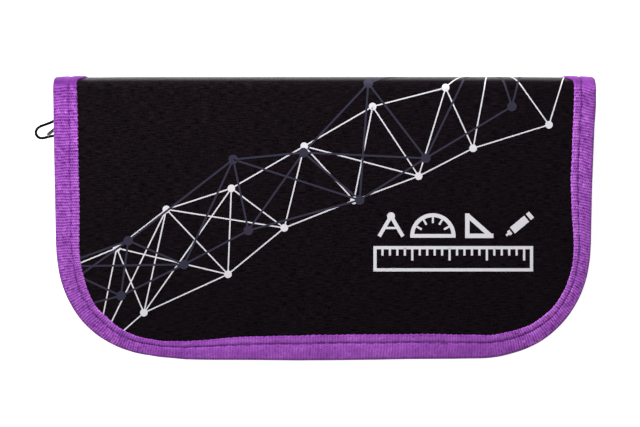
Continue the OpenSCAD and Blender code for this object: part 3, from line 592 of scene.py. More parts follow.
def rim_path(step):
    """Edge of the unrolled half from mid-spine on the left round the cover to mid-spine on the right: the
    length s, the place (u, v) and the inward direction (nu, nv) of each point."""
    side = (TANGENT_Y - FOLD_Y) / math.cos(LEAN)
    arc = CORNER_R * (math.pi / 2 - LEAN)
    lengths = np.array([V_MID, -side, arc, 2 * CORNER_X, arc, -side, V_MID])
    knots = np.concatenate([[0], np.cumsum(lengths)])
    s = np.linspace(0, knots[-1], int(knots[-1] / step))
    left = np.minimum(s, knots[-1] - s)
    r = np.clip(left - knots[1], 0, lengths[1])
    a = math.pi + LEAN + np.clip(left - knots[2], 0, arc) / CORNER_R
    on_side = left < knots[2]
    on_arc = ~on_side & (left < knots[3])
    u = np.where(on_side, -CASE_W / 2 + r * math.sin(LEAN), -CORNER_X + CORNER_R * np.cos(a))
    v = np.where(on_side, V_MID - np.minimum(left, knots[1]) - r * math.cos(LEAN),
                 CORNER_Y - FOLD_Y + CORNER_R * np.sin(a))
    nu = np.where(on_side, np.where(left < knots[1], 1.0, math.cos(LEAN)), -np.cos(a))
    nv = np.where(on_side, np.where(left < knots[1], 0.0, math.sin(LEAN)), -np.sin(a))
    flip = np.where(s > knots[-1] / 2, -1.0, 1.0)
    flat = ~on_side & ~on_arc
    u = np.where(flat, s - knots[-1] / 2, u * flip)
    v = np.where(flat, EDGE_Y - FOLD_Y, v)
    nu = np.where(flat, 0.0, nu * flip)
    nv = np.where(flat, 1.0, nv)
    return s, u, v, nu, nv


def tape_profile():
    """Cross-section of the folded tape as one closed loop. Its outer face runs from the upper inner edge
    round the rim to the lower inner edge, and its under face comes back. Gives the distance from the rim n,
    the height h, 1 to -1 from the upper flap to the lower one, and 1 for the points on the outer face."""
    flap = np.concatenate([np.linspace(TAPE_W, 9.6, 3), np.linspace(9.3, 7.2, 8), np.linspace(7.0, 6.0, 7),
                           np.linspace(5.7, RIM_R, 13)])
    low = np.array([RIM_R, 2.8, 3.9, 5.0, 5.8, 6.2, 6.5, 6.8, 7.2, 8.0, 8.8, 9.3, 9.65, TAPE_W])
    turn = np.linspace(0, math.pi, 13)[1:-1]
    middle = (TAPE_TOP - INSIDE_Z) / 2

    def rise(n):
        """Height of a flap: two low swells with the seam's groove between them, and a low inner edge."""
        outside = 0.10 * np.sin(np.clip((n - 1.7) / 4.4, 0, 1) * math.pi)
        inside = 0.08 * np.sin(np.clip((n - 6.7) / 3.2, 0, 1) * math.pi)
        groove = 0.24 * np.exp(-((n - GROOVE_N) / 0.42) ** 2)
        return TAPE_TOP + (outside + inside) - groove - 0.42 * smooth((n - 9.55) / 0.45)

    rim_n = RIM_R * (1 - np.abs(np.sin(turn)) ** 0.8)
    rim_h = middle + (TAPE_TOP - middle) * np.sign(np.cos(turn)) * np.abs(np.cos(turn)) ** 0.8
    n = np.concatenate([flap, rim_n, low])
    h = np.concatenate([rise(flap), rim_h, 2 * middle - rise(low)])
    upper = np.concatenate([np.ones(len(flap)), np.cos(turn), -np.ones(len(low))])
    run_n, run_h = np.gradient(n), np.gradient(h)
    size = np.hypot(run_n, run_h)
    pick = np.unique(np.concatenate([np.arange(0, len(n), 3), [len(n) - 1]]))[::-1]
    in_n, in_h = n - TAPE_INNER * run_h / size, h + TAPE_INNER * run_n / size
    outer = np.concatenate([np.ones(len(n)), np.zeros(len(pick))])
    under = (in_n[pick], in_h[pick], upper[pick])
    return (*(np.concatenate(both) for both in zip((n, h, upper), under)), outer)


def seam_wander(s):
    """How far the seam strays from its line."""
    return 0.16 * np.sin(s / 4.3) + 0.12 * np.sin(s / 11.7 + 1.0)


def settled(n, share, upper=1.0):
    """Where the sewn tape lies: its rim is drawn in and its upper flap is wide or narrow by turns."""
    rim, edge = np.interp(share, RIM_AT, RIM_IN), np.interp(share, EDGE_AT, EDGE_OUT)
    across = np.clip(n / TAPE_W, 0, 1.2)
    return n + np.where(upper > 0, rim - edge * across, rim * (1 - across))


def laid_places(s, v, n0, upper, rng):
    """Distance from the rim across the laid tape: a wavy, scalloped inner edge that flares over the fold."""
    wander = np.interp(s, np.linspace(0, s[-1], 60), rng.normal(0, 0.20, 60))
    scallop = 0.22 * np.abs(np.sin(math.pi * s / (2 * RIB_PITCH)))
    inner = smooth((n0 - GROOVE_N) / 3.5)
    n = n0 + (3.6 * smooth((v - 3.2) / 4.5) + wander * 0.6 - scallop)[:, None] * inner
    n = n + (0.5 * smooth((v - 5.5) / 2.6) ** 2)[:, None] * (1 - inner)
    return settled(n, (s / s[-1])[:, None], upper)


def rib_phase(s, n0, sewn, rng):
    """Ribs passed up to each point: they slant outside the seam and bow between the stitches inside it."""
    lean = np.interp(s / s[-1], [0, 0.35, 0.65, 0.85, 1], [-0.05, 0.0, 0.06, 0.24, 0.26])
    slant = lean[:, None] * np.clip(GROOVE_N - n0, 0, None)
    bow = 0.20 * sewn[:, None] * np.clip((n0 - GROOVE_N) / 3.5, 0, None)
    sway = 0.14 * np.sin(s / 7.0)[:, None] + 0.13 * np.sin(s[:, None] / 4.7 + n0 * 0.8) * (n0 < GROOVE_N)
    jitter = np.interp(s, np.arange(0, s[-1] + 2, 1.7), rng.normal(0, 0.07, int(s[-1] / 1.7) + 2))
    return (s[:, None] + slant + bow + sway + jitter[:, None]) / RIB_PITCH


def laid_shade(share, v, n0, outer):
    """How pale the tape is apart from its ribs, mostly painted light: painted shade at the inner lip along
    the bottom, a paler lip along the sides and a little paler inside the seam; painted shade along the rim,
    beside and over the fold; and a painted highlight at the top of the fold.
    """
    # Painted shade on the inner lip along the bottom, which faces the lamp; along the sides the lip is paler.
    lip = np.interp(share, [0.25, 0.40, 0.60, 0.75], [0.10, -0.22, -0.22, 0.10])[:, None]
    # Painted shade along the rim, from the table.
    tone = np.interp(share, PAINTED_RIM_SHADE_AT, PAINTED_RIM_SHADE)[:, None]
    # Painted shade on the tape inside the seam, next to and over the fold.
    painted_shade_beside_fold = 0.12 * smooth((v + 3) / 3)[:, None] * smooth((n0 - GROOVE_N) / 3.5)
    # Painted shade over the fold, and at its top a painted highlight.
    painted_fold_shade_and_highlight = (0.24 * smooth((v - 0.4) / 3) - 0.30 * smooth((v - 6.2) / 1.6))[:, None] * outer
    edge = 0.05 * smooth((n0 - 7.2) / 0.6) + lip * smooth((n0 - 8.7) / 0.9)
    return 0.43 + edge - tone - painted_shade_beside_fold - painted_fold_shade_and_highlight


def tape_piece(half, side, points, uv, shade):
    """One of the two pieces of a half's tape, closed at both ends."""
    rings = with_ends(points)
    uv, shade = (np.concatenate([values[:1], values, values[-1:]]) for values in (uv, shade))
    piece = make_piece(f"{half}_tape_{side}", rings, grid_quads(*rings.shape[:2], round_cols=True), None,
                       "binding_tape", PURPLE_TAPE, uv, shade)
    cross_fold(piece, half)
    spine = ["spine_binding"] if half == FRONT else []
    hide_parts(f"{half}_binding", f"{half}_fold_binding", *spine)


def make_binding(half):
    """Ribbed tape folded round the rim, as two pieces that meet in the middle of the long edge. The ribs
    stand on it as rounded ridges and fade over the fold."""
    s, u, v, nu, nv = rim_path(RIB_PITCH / 5)
    n0, h0, upper, outer = tape_profile()
    rng = np.random.default_rng(5)
    n = laid_places(s, v, n0, upper, rng)
    pu, pv = u[:, None] + n * nu[:, None], v[:, None] + n * nv[:, None]
    sewn = np.cos(2 * math.pi * (s - SEAM_START) / STITCH_STEP)
    phase = rib_phase(s, n0, sewn, rng)
    crest = 0.5 + 0.5 * np.cos(2 * math.pi * phase)
    fade = 1 - 0.96 * smooth((v - 0.2) / 2.8)
    flatter = smooth((np.abs(u) - 60) / 30) * 0.5 + 0.5
    strength = (fade * np.where(v < CORNER_Y - FOLD_Y, flatter, 1.0))[:, None] * outer
    groove = np.exp(-((n0 - GROOVE_N - seam_wander(s)[:, None]) / 0.32) ** 2)
    groove = groove * (0.35 + 0.65 * smooth(sewn + 0.6))[:, None]
    rib = np.floor(phase).astype(int)
    bead = n0 / 0.95 + 0.5 * (rib % 2)
    beads = np.cos(2 * math.pi * bead) * strength
    speck = rng.normal(0, 1, (rib.max() + 2, 16))[rib, np.floor(bead).astype(int) % 16] * strength
    h = h0 + np.sign(upper) * (0.14 * (crest - 0.6) * strength * (1 - 0.7 * groove) + 0.03 * beads)
    sunk = 0.45 * smooth((v - 3.2) / 4.5)[:, None] * np.clip(1 - n0 / TAPE_W, 0, 1)
    sunk = sunk + (0.22 if half == BACK else 0)
    h = h + (crown(pu, pv) * (half == FRONT) - sunk) * (upper > 0)
    # The shade paints highlights on the rib crowns and beads and shade in the grooves and the seam's groove;
    # the specks and the random term are the tape's own uneven colour.
    ribs = 0.40 * (crest - 0.5) * strength + 0.14 * beads + 0.09 * speck - 0.34 * groove * outer
    shade = laid_shade(s / s[-1], v, n0, outer) + ribs + 0.10 * (rng.random(ribs.shape) - 0.5)
    points = wrap(pu, pv, h, half)
    uv = pairs(s, run_along(n0, h0))
    middle = len(s) // 2
    for side, rows in (("left", slice(0, middle + 1)), ("right", slice(middle, len(s)))):
        tape_piece(half, side, points[rows], uv[rows], shade[rows])


# ---------- stitches ----------
def make_stitches(half):
    """One thread capsule for each stitch along the seam of the tape: a short bar that dips at both ends."""
    s, u, v, nu, nv = rim_path(0.2)
    rng = np.random.default_rng(11)
    count = int((s[-1] - 2 * SEAM_START) / STITCH_STEP) + 1
    t = np.linspace(-0.5, 0.5, 7)
    parts = []
    for k in range(count):
        at = SEAM_START + k * STITCH_STEP + t * STITCH_L * rng.uniform(0.8, 1.1)
        side = settled(GROOVE_N + seam_wander(at) + t * rng.normal(0, 0.15), at / s[-1])
        line = [np.interp(at, s, q) for q in (u, v, nu, nv)]
        pu, pv = line[0] + side * line[2], line[1] + side * line[3]
        lift = crown(pu, pv) * (half == FRONT) + 0.16 + 0.14 * np.cos(t * math.pi)
        radius = 0.19 * np.sqrt(np.clip(1.02 - (2 * t) ** 4, 0.1, 1))
        parts.append(tube_parts(tube_grid(wrap(pu, pv, lift, half), radius, 6)))
    piece = make_piece(f"{half}_seam", *joined(parts), None, "binding_tape", THREAD)
    cross_fold(piece, half)


for side_of_case in (FRONT, BACK):
    make_cloths(side_of_case)
    make_binding(side_of_case)
    make_stitches(side_of_case)


# ---------- printed network ----------
INK_LIFT = 0.05
SIGNS_Y = -7.1
RULER_X, RULER_Y = 21.0, -20.7


def ribbon(a, b, width, half, lift):
    """Thin printed bar from a to b on the flat cloth."""
    a, b = np.array(a, float), np.array(b, float)
    run = b - a
    length = np.hypot(*run)
    t = np.linspace(0, 1, max(3, int(length / 0.8)))[:, None]
    across = np.array([-run[1], run[0]]) / length * width / 2
    return printed(np.stack([a + run * t - across, a + run * t + across], 1), half, lift)


def disc(centre, radius, half, lift):
    """Thin printed dot."""
    r = np.linspace(0.02, 1, 4)[:, None, None] * radius
    a = np.linspace(0, 2 * math.pi, 25)[None, :, None]
    return printed(np.array(centre) + r * np.concatenate([np.cos(a), np.sin(a)], -1), half, lift)


def printed(flat, half, lift):
    """Points and quads of a closed film of ink over a grid of flat places."""
    u, v = flat[..., 0], flat[..., 1]
    swell = crown(u, v) * (half == FRONT)
    top, under = (wrap(u, v, swell + lift - d, half) for d in (0, 0.12))
    points, faces = shell_parts(top, under)
    return points, faces, np.concatenate([flat.reshape(-1, 2)] * 2)


def make_print(name, shapes, material, half):
    """One film of ink from many shapes. Each lies a few microns off its neighbours, where they cross."""
    step = 0.004 if half == FRONT else -0.004
    parts = [(points + [0, 0, step * (k % 6)], faces) for k, (points, faces, _) in enumerate(shapes)]
    piece = make_piece(name, *joined(parts), None, "outer_cloth", material,
                       np.concatenate([flat for _, _, flat in shapes]), rounded=False)
    cross_fold(piece, half)


def apart(nodes, links):
    """The links without those that leave a node at almost the same angle as a shorter one."""
    def length(link):
        return np.hypot(*(nodes[link[1]] - nodes[link[0]]))

    kept = []
    for a, b in sorted((link for link in links if link[0] >= 0), key=length):
        clear = True
        for c, d in kept:
            shared = {a, b} & {c, d}
            if shared:
                hub = shared.pop()
                one, two = nodes[a + b - hub] - nodes[hub], nodes[c + d - hub] - nodes[hub]
                clear &= bool(one @ two < math.cos(math.radians(13)) * np.hypot(*one) * np.hypot(*two))
        if clear:
            kept.append((a, b))
    return kept


def network(seed, step, rise, half):
    """Two uneven rows of nodes along a band that climbs from the lower left to the spine and over it, and
    the links between neighbours of both rows, with some longer ones. The back half sees the same cloth from
    beyond the spine."""
    rng = np.random.default_rng(seed)
    count = int(250 / step)
    nodes, links = [], set()
    for k in range(count):
        for row in (0, 1):
            u = -122 + step * (k + 0.5 * row) + rng.uniform(-0.26, 0.26) * step
            v = -96 + 104 * smooth((u + 150) / 300) * 1.1 + rise + (row - 0.5) * 32 + rng.uniform(-9, 9)
            nodes.append((u, v))
            me = len(nodes) - 1
            links.update({(me - 1, me), (me - 2, me)})
            if rng.random() < 0.55:
                links.add((me - 3, me))
            if rng.random() < 0.2:
                links.add((me - 4, me))
    nodes = np.array(nodes)
    links = apart(nodes, links)
    if half == BACK:
        nodes[:, 1] = 2 * V_MID - nodes[:, 1]
    return nodes, links


def on_cloth(points, inset):
    """True where a place is inside the outline by inset and on this half of the spine."""
    return (edge_distance(points[..., 0], points[..., 1]) > inset) & (points[..., 1] < V_MID - 0.3)


def net_shapes(seed, step, rise, width, dot, half, lift):
    """Bars and dots of one net. A bar ends under the tape or at the middle of the spine."""
    nodes, links = network(seed, step, rise, half)
    shapes = []
    for a, b in links:
        line = nodes[a] + (nodes[b] - nodes[a]) * np.linspace(0, 1, 120)[:, None]
        keep = line[on_cloth(line, 6)]
        if len(keep) > 3:
            shapes.append(ribbon(keep[0], keep[-1], width, half, lift))
    return shapes + [disc(p, dot, half, lift + 0.02) for p in nodes if on_cloth(p, 7 + dot)]


def flat_bars(x, y, *bars):
    """Printed bars of the front, each (x0, y0, x1, y1, width) counted from the place (x, y)."""
    return [ribbon((x + x0, y + y0 - FOLD_Y), (x + x1, y + y1 - FOLD_Y), width, FRONT, INK_LIFT)
            for x0, y0, x1, y1, width in bars]


def flat_arc(x, y, r0, r1, a0, a1):
    """Part of a flat ring between two angles in degrees."""
    a = np.radians(np.linspace(a0, a1, 25))[:, None]
    r = np.linspace(r0, r1, 3)[None, :]
    return printed(np.stack([x + r * np.cos(a), y - FOLD_Y + r * np.sin(a)], -1), FRONT, INK_LIFT)


def drawing_signs():
    """Signs for drawing tools over a ruler: pair of compasses, protractor, set square, pencil."""
    compass_x, protractor_x, square_x, pencil_x = 27.5, 44.5, 58.5, 74.2
    shapes = flat_bars(compass_x, SIGNS_Y, (0, 8.2, -4.8, 0, 1.5), (0, 8.2, 4.8, 0, 1.5),
                       (-3.0, 3.4, 3.0, 3.4, 0.9))
    shapes += [flat_arc(compass_x, SIGNS_Y + 8.2, 0.02, 1.6, 0, 360),
               flat_arc(protractor_x, SIGNS_Y + 0.2, 7.6, 9.2, 0, 180)]
    rays = [(5.2 * math.cos(a), 5.2 * math.sin(a), 7.8 * math.cos(a), 7.8 * math.sin(a), 0.8)
            for a in np.radians(np.arange(30, 151, 30))]
    shapes += flat_bars(protractor_x, SIGNS_Y + 0.2, (-9.2, 0, 9.2, 0, 1.5), *rays)
    shapes += flat_bars(square_x, SIGNS_Y, (0, -0.5, 0, 9.3, 1.8), (-0.9, 0.2, 10.6, 0.2, 1.8),
                        (0, 8.6, 9.6, 0.1, 1.8))
    shapes += flat_bars(pencil_x, SIGNS_Y, (2.6, 2.4, 8.4, 7.2, 3.2), (9.1, 7.8, 10.4, 8.9, 3.2),
                        (0.1, 0.3, 1.7, 1.7, 0.9), (1.0, 1.1, 2.0, 1.9, 2.0))
    long, high, steps = 63.6, 9.0, 21
    frame_bars = [(0, 0, long, 0, 1.3), (0, high, long, high, 1.3)]
    frame_bars += [(x, -0.65, x, high + 0.65, 1.3) for x in (0, long)]
    ticks = [(k * long / steps, high, k * long / steps, high - (3.2 if k % 5 else 5.2), 0.9)
             for k in range(1, steps)]
    return shapes + flat_bars(RULER_X, RULER_Y, *frame_bars, *ticks)


def make_network(half):
    """Dots joined by lines in white, over a second net in slate."""
    shapes = net_shapes(3, 26.0, 0.0, 0.52, 1.55, half, INK_LIFT) + (drawing_signs() if half == FRONT else [])
    make_print(f"{half}_white_print", shapes, WHITE_INK, half)
    make_print(f"{half}_slate_print", net_shapes(12, 33.0, 7.0, 0.8, 1.95, half, 0.08), SLATE_INK, half)


for side_of_case in (FRONT, BACK):
    make_network(side_of_case)


# ---------- zip ----------
COIL_Z = 11.1
COIL_PITCH = 1.4


def inner_path(n, step, y_end):
    """Line inside one cover at the distance n from its edge, from the left end at y_end to the right."""
    _, u, v, nu, nv = rim_path(step)
    x, y = u + n * nu, FOLD_Y + v + n * nv
    keep = (v < 0) & (y < y_end)
    return x[keep], y[keep], nu[keep], nv[keep]


def turned(points, half):
    """Points of the back half, or turned over for the front half."""
    return points if half == BACK else points * [1, 1, -1] + [0, 0, CASE_H]


def make_zip_wall(half):
    """Woven tape of the zip: a low wall round the case that bulges outwards between its two seams."""
    x, y, nx, ny = inner_path(TAPE_W, 1.2, FOLD_Y - 1)
    z = np.linspace(INSIDE_Z + 0.02, COIL_Z, 12)
    bulge = 0.28 * np.sin(np.linspace(0, math.pi, len(z)))
    line, inwards = np.stack([x, y], -1)[:, None], np.stack([nx, ny], -1)[:, None]
    walls = [level_grid(line + (depth - bulge)[:, None] * inwards, z) for depth in (0.04, 0.56)]
    piece = make_sheet(f"{half}_zip_wall", *(turned(wall, half) for wall in walls), half, "zip_cloth",
                       ZIP_CLOTH, pairs(run_along(x, y), z))
    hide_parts(f"zip_tape_{half}")


def make_coil(half):
    """Nylon coil on the edge of the zip's tape: a helix with flat-sided turns, cos and sin round the row."""
    x, y, nx, ny = inner_path(TAPE_W - 0.82, 0.116, FOLD_Y - 10)
    a = 2 * math.pi * run_along(x, y) / COIL_PITCH
    out, up = 0.46 * np.cos(a), 0.62 * np.sin(a)
    points, faces = tube_parts(tube_grid(np.stack([x - out * nx, y - out * ny, COIL_Z + up], 1), 0.25, 5))
    piece = make_piece(f"{half}_zip_coil", turned(points, half), faces, half, "zip_teeth", ZIP_COIL)
    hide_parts(f"zip_teeth_{half}")


for side_of_case in (FRONT, BACK):
    make_zip_wall(side_of_case)
    make_coil(side_of_case)


# ---------- elastic straps ----------
LOOP_GAP = 0.3
ELASTIC_T = 0.9
BAND_T = 0.5
STRIP_W = 20.0


def loops_round(held):
    """Middle, width, top and corner radius of each loop, from the boxes of the nodes that it holds."""
    loops = []
    for nodes, corner in held:
        low, high = node_box(*nodes)
        loops.append(((low[1] + high[1]) / 2, high[1] - low[1], high[2], corner))
    return loops


def strap_line(loops, y_high, y_low):
    """Line of the strap over the band, from the spine outwards: straight between loops, and over each an arch
    with rounded corners. Each loop is (middle, width, top, corner)."""
    base = INSIDE_Z + BAND_T + ELASTIC_T / 2 - 0.15
    off = LOOP_GAP + ELASTIC_T / 2
    points = [np.array([[y_high, base]])]
    for y, w, top, corner in sorted(loops, reverse=True):
        half_w, peak, r = w / 2 + off, top + off, corner + off
        a = np.linspace(0, math.pi / 2, 8)
        right = np.stack([y + half_w - r + r * np.cos(a), peak - r + r * np.sin(a)], 1)
        left = np.stack([y - half_w + r - r * np.sin(a), peak - r + r * np.cos(a)], 1)
        points += [[[y + half_w + 0.35, base]], [[y + half_w, base + 0.5]], right, left,
                   [[y - half_w, base + 0.5]], [[y - half_w - 0.35, base]]]
    points.append([[y_low, base]])
    line = np.concatenate([np.asarray(p, float) for p in points])
    run = run_along(*line.T)
    keep = np.concatenate([[True], np.diff(run) > 1e-6])
    even = np.linspace(0, run[-1], int(run[-1] / 0.35))
    return np.stack([np.interp(even, run[keep], line[keep, k]) for k in range(2)], 1), even


def make_strap(node, middle, held):
    """Ribbed elastic: the strap's line swept across its width, with fine ridges along it and narrower over
    the loops. A flat band of the same elastic lies under it."""
    low, high = node_box(node)
    line, run = strap_line(loops_round(held), high[1] - 0.3, low[1] + 0.3)
    step = np.gradient(line, axis=0)
    step /= np.hypot(*step.T)[:, None]
    normal = np.stack([step[:, 1], -step[:, 0]], 1)
    t = np.linspace(-1, 1, 61)
    raised = smooth((line[:, 1] - INSIDE_Z - 1.5) / 4)
    x = middle + (STRIP_W / 2 * (1 - 0.035 * raised))[:, None] * t
    off = ELASTIC_T / 2 - 0.08 + 0.05 * np.cos(t * math.pi * 15)[:, None]
    faces = [line[:, None] + sign * normal[:, None] * off for sign in (1, -1)]
    faces = [np.concatenate([x[..., None], yz], -1) for yz in faces]
    strap = make_sheet(f"{node}_strap", *faces, "back", "elastic", ELASTIC,
                       pairs(run, STRIP_W / 2 * t)[..., ::-1])
    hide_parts(node)
    flat = pairs(np.linspace(low[1], high[1], 60), np.linspace(-1, 1, 21) * (STRIP_W / 2))[..., ::-1]
    band = [level_grid(flat + [middle, 0], z) for z in (INSIDE_Z + BAND_T, INSIDE_Z + 0.02)]
    make_sheet(f"{node}_band", *band, "back", "elastic", ELASTIC, flat)


# What each strap holds, with the corner radius of the loop.
COMPASS_NODES = [name for name, node in frame["nodes"].items() if body_of(node) == ["compass"]]
LONG_ROWS = [(COMPASS_NODES, 1.6), (["pencil_barrel"], 3.6), (["ruler"], 0.2)]
make_strap("elastic_left", -45.0, LONG_ROWS + [(["tube_body"], 3.4), (["eraser_sleeve"], 0.3)])
make_strap("elastic_right", 45.0, LONG_ROWS + [(["sharpener_body", "sharpener_screw"], 1.6)])


# ---------- clear pocket ----------
def make_pocket():
    """Clear film over the set square: level, with shallow ripples in the middle that fade out towards its
    sewn border.
    """
    low, high = node_box("clear_pocket")
    inset = low[1] + CASE_D / 2
    corner = EDGE_Y + inset + (CORNER_R - inset) * (1 - np.cos(np.linspace(0, math.pi / 2, 20)))
    rows = np.concatenate([corner, np.arange(CORNER_Y + 2, high[1], 2.0), [high[1]]])
    wide = half_width(rows - FOLD_Y, inset)
    x = np.linspace(-1, 1, 111) * wide[:, None]
    y = np.broadcast_to(rows[:, None], x.shape)
    flat = np.stack([x, y], -1)
    inside = smooth((edge_distance(x, y - FOLD_Y) - inset) / 12)
    ripple = 0.10 * np.sin(x / 9 + 0.7) * np.sin(y / 7 + x / 31) * inside
    film = [level_grid(flat, low[2] + lift + ripple) for lift in (0.08, 0.33)]
    piece = make_sheet("pocket_film", *film, "front", "clear_film", FILM, flat)
    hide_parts("clear_pocket")


def make_hem():
    """Ribbed tape along the pocket's mouth, folded over the film."""
    low, high = node_box("pocket_hem")
    x = np.arange(low[0] + 0.2, high[0] - 0.2, RIB_PITCH / 5)
    t = np.linspace(0, 1, 15)
    crest = 0.5 + 0.5 * np.cos(2 * math.pi * x / RIB_PITCH)[:, None]
    rim = 1 - (2 * t - 1) ** 8
    flat = pairs(x, low[1] + (high[1] - low[1]) * t)
    bottom = low[2] + 0.10 - 0.1 * rim * (0.3 + 0.7 * crest)
    # The shade paints highlights on the rib crowns and shade between them, weaker towards both edges of the
    # tape.
    piece = make_sheet("pocket_mouth_tape", level_grid(flat, bottom), level_grid(flat, high[2]), "front",
                       "binding_tape", PURPLE_TAPE, flat, 0.5 + 0.35 * (crest - 0.4) * rim)
    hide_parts("pocket_hem")


make_pocket()
make_hem()


# ---------- printed scales of the ruler and the set square ----------
DIGITS = {"0": "abcdef", "1": "bc", "2": "abged", "3": "abgcd", "4": "fgbc", "5": "afgcd", "6": "afgedc",
          "7": "abc", "8": "abcdefg", "9": "abfgcd"}
BARS = {"a": (0, 2, 1, 2), "b": (1, 1, 1, 2), "c": (1, 0, 1, 1), "d": (0, 0, 1, 0), "e": (0, 0, 0, 1),
        "f": (0, 1, 0, 2), "g": (0, 1, 1, 1)}
DIGIT_W = 1.0
DIGIT_LINE = 0.22
TICK_LINE = 0.16
PRINT_T = 0.04


def bar_box(x0, y0, x1, y1, line, z):
    """A flat printed bar between two places, as a closed box."""
    a, b = np.array([x0, y0]), np.array([x1, y1])
    run = (b - a) / np.hypot(*(b - a))
    a, b = a - run * line / 2, b + run * line / 2
    side = np.array([-run[1], run[0]]) * line / 2
    top = np.array([[a - side, a + side], [b - side, b + side]])
    return shell_parts(level_grid(top, z + PRINT_T), level_grid(top, z))


def digits(number, x, y, z, rise=1):
    """A plain number made of straight bars; with rise = -1 it reads from below."""
    parts = []
    text = str(number)
    for k, mark in enumerate(text):
        left = x + (k - len(text) / 2) * 1.5 * DIGIT_W
        for bar in DIGITS[mark]:
            x0, y0, x1, y1 = np.array(BARS[bar]) * DIGIT_W * [1, rise, 1, rise]
            parts.append(bar_box(left + x0, y + y0, left + x1, y + y1, DIGIT_LINE, z))
    return parts


def tick_length(k, ten, five, one):
    """Length of the tick k of a scale: the tens are longest, then the fives."""
    return ten if k % 10 == 0 else five if k % 5 == 0 else one


PRINT_BLACK = plain_material("scale print", (22, 22, 26), (30, 30, 35), 0.5, 300)


def make_ruler_scale():
    """Millimetre ticks along the bevelled edge, with numbers at each centimetre."""
    low, high = node_box("ruler")
    start, edge, z = low[0] + 7.5, low[1] + 7.6, high[2] - 0.01
    parts = []
    for k in range(151):
        x = start + k
        parts.append(bar_box(x, edge, x, edge + tick_length(k, 4.2, 3.2, 2.3), TICK_LINE, z))
        if k % 10 == 0:
            parts += digits(k // 10, x, low[1] + 13.4, z)
    make_piece("ruler_scale", *joined(parts), "ruler", "graphite", PRINT_BLACK)


def make_square_scale():
    """Ticks and numbers from the middle of the long edge outwards, on the face under the film, and an arc of
    degree marks."""
    low, high = node_box("set_square")
    edge, z = high[1], low[2] - 0.03
    parts = []
    for k in range(-70, 71):
        parts.append(bar_box(k, edge - 0.6 - tick_length(k, 3.6, 2.8, 2.0), k, edge - 0.6, TICK_LINE, z))
        if k % 10 == 0:
            parts += digits(abs(k) // 10, k, edge - 5.2, z, rise=-1)
    for degree in range(5, 176, 5):
        a = math.radians(180 + degree)
        ends = [(r * math.cos(a), edge + r * math.sin(a)) for r in (37 if degree % 10 else 35, 39.5)]
        parts.append(bar_box(*ends[0], *ends[1], TICK_LINE, z))
    make_piece("set_square_scale", *joined(parts), "set_square", "graphite", PRINT_BLACK)


make_ruler_scale()
make_square_scale()


# ---------- finishes of the solid nodes ----------
FINISHES = {
    NICKEL: ["zip_stops_back", "zip_stops_front", "zip_slider", "zip_tab"],
    CHROME: ["compass_grip", "compass_yoke", "needle_leg", "lead_leg", "needle_socket", "lead_socket"],
    STEEL: ["compass_pins", "compass_needle", "sharpener_blade"],
    BRASS: ["needle_screw", "lead_screw", "sharpener_screw"],
    GRAPHITE: ["compass_lead", "pencil_lead", "spare_leads"],
    LACQUER: ["pencil_barrel"],
    CLEAR_PLASTIC: ["tube_body", "ruler", "set_square"],
    CAP: ["tube_cap"],
    RUBBER: ["eraser"],
    SLEEVE: ["eraser_sleeve"],
    ALLOY: ["sharpener_body"],
    LINING: ["pocket_gusset"],
}


def finish_nodes():
    for material, nodes in FINISHES.items():
        for node in nodes:
            mesh = frame["nodes"][node].data
            mesh.materials.clear()
            mesh.materials.append(material)


finish_nodes()


def show_wood():
    """Bare wood on the sharpened cone of the pencil and on its far end: the faces that don't run along it."""
    mesh = frame["nodes"]["pencil_barrel"].data
    normals = np.empty(3 * len(mesh.polygons))
    mesh.polygons.foreach_get("normal", normals)
    mesh.materials.append(WOOD)
    mesh.polygons.foreach_set("material_index", (np.abs(normals[::3]) > 0.08).astype(int))


show_wood()


def make_cover_board(half):
    """Stiffener of one cover, cut back from the rim so that it lies wholly inside the tape."""
    low, high = node_box(f"{half}_board")
    u, v = (places[:1 - FOLD_ROWS] for places in cloth_grid(3.0, 4.0))
    flat = np.stack([u, FOLD_Y + v], -1)
    sheets = [level_grid(flat, z) for z in (low[2], high[2])]
    piece = make_sheet(f"{half}_stiffener", *sheets, half, "board", CARDBOARD)
    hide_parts(f"{half}_board")


def make_spine_board():
    """Stiffener in the spine, short enough to lie wholly inside the tape at both ends."""
    low, high = node_box("spine_board")
    face = pairs(np.linspace(low[0] + 2, high[0] - 2, 40), np.linspace(low[2], high[2], 8))
    grids = [np.insert(face, 1, y, axis=-1) for y in (low[1], high[1])]
    piece = make_sheet("spine_stiffener", *grids, "spine", "board", CARDBOARD)
    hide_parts("spine_board")


THREAD_END = (109.7, 52.3, 24.1)


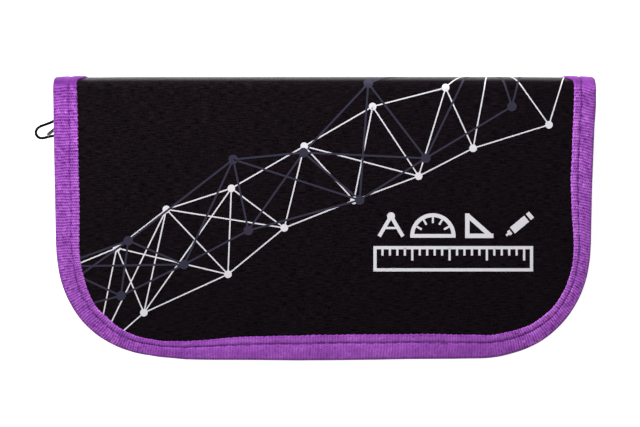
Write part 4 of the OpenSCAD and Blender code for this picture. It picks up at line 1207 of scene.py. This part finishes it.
def make_thread_end():
    """Snipped end of the sewing thread at the right end of the front seam."""
    t = np.linspace(0, 1, 7)
    path = THREAD_END + np.stack([1.5 * t, 0.25 * np.sin(3 * t), -0.3 * t], 1)
    make_piece("front_thread_end", *tube_parts(tube_grid(path, 0.2, 6)), "front", "binding_tape", THREAD)


make_cover_board(FRONT)
make_cover_board(BACK)
make_spine_board()
make_thread_end()


# ---------- floor, world and lamps ----------
WORLD_LIGHT = 0.297
FLOOR_GLOW = 0.84
FLOOR_R = 3.0


def seen_ray(n):
    """1 for the rays that show a thing, straight, in a gloss or through clear plastic; 0 for all others."""
    rays = n.add("LightPath").outputs
    seen = n.math("MAXIMUM", rays["Is Camera Ray"], rays["Is Glossy Ray"])
    return n.math("MAXIMUM", seen, rays["Is Transmission Ray"])


def make_world():
    """Even grey world."""
    world = bpy.data.worlds.new("world")
    SCENE.world = world
    world.use_nodes = True
    ground = world.node_tree.nodes["Background"]
    ground.inputs["Color"].default_value = (1, 1, 1, 1)
    ground.inputs["Strength"].default_value = WORLD_LIGHT


def make_floor():
    """Pale floor that shows white and keeps the shadow of the case."""
    data = bpy.data.meshes.new("floor")
    r = FLOOR_R
    data.from_pydata([(-r, -r, 0), (r, -r, 0), (r, r, 0), (-r, r, 0)], [], [(0, 1, 2, 3)])
    n = Nodes("white floor")
    n.set(Base_Color=(0.8, 0.8, 0.8, 1), Roughness=0.9, Specular_IOR_Level=0.1, Emission_Color=(1, 1, 1, 1),
          Emission_Strength=n.math("MULTIPLY", seen_ray(n), FLOOR_GLOW))
    data.materials.append(n.material)
    add_object("floor", data)


def make_lamp(name, place, aim, power, size):
    """Soft lamp that doesn't show in the bright and the clear pieces."""
    data = bpy.data.lights.new(name, "AREA")
    data.energy = power
    data.shape = "RECTANGLE"
    data.size, data.size_y = size
    lamp = add_object(name, data)
    lamp.location = place
    lamp.rotation_euler = Vector(np.subtract(aim, place)).to_track_quat("-Z", "Y").to_euler()
    lamp.visible_glossy = lamp.visible_transmission = False


make_world()
make_floor()
make_lamp("key_lamp", (-0.08, 0.32, 0.17), (0, 0, 0.02), 2.15, (0.3, 0.12))
make_lamp("side_lamp", (-0.9, -0.1, 0.9), (0, 0, 0), 3.2, (0.8, 0.6))
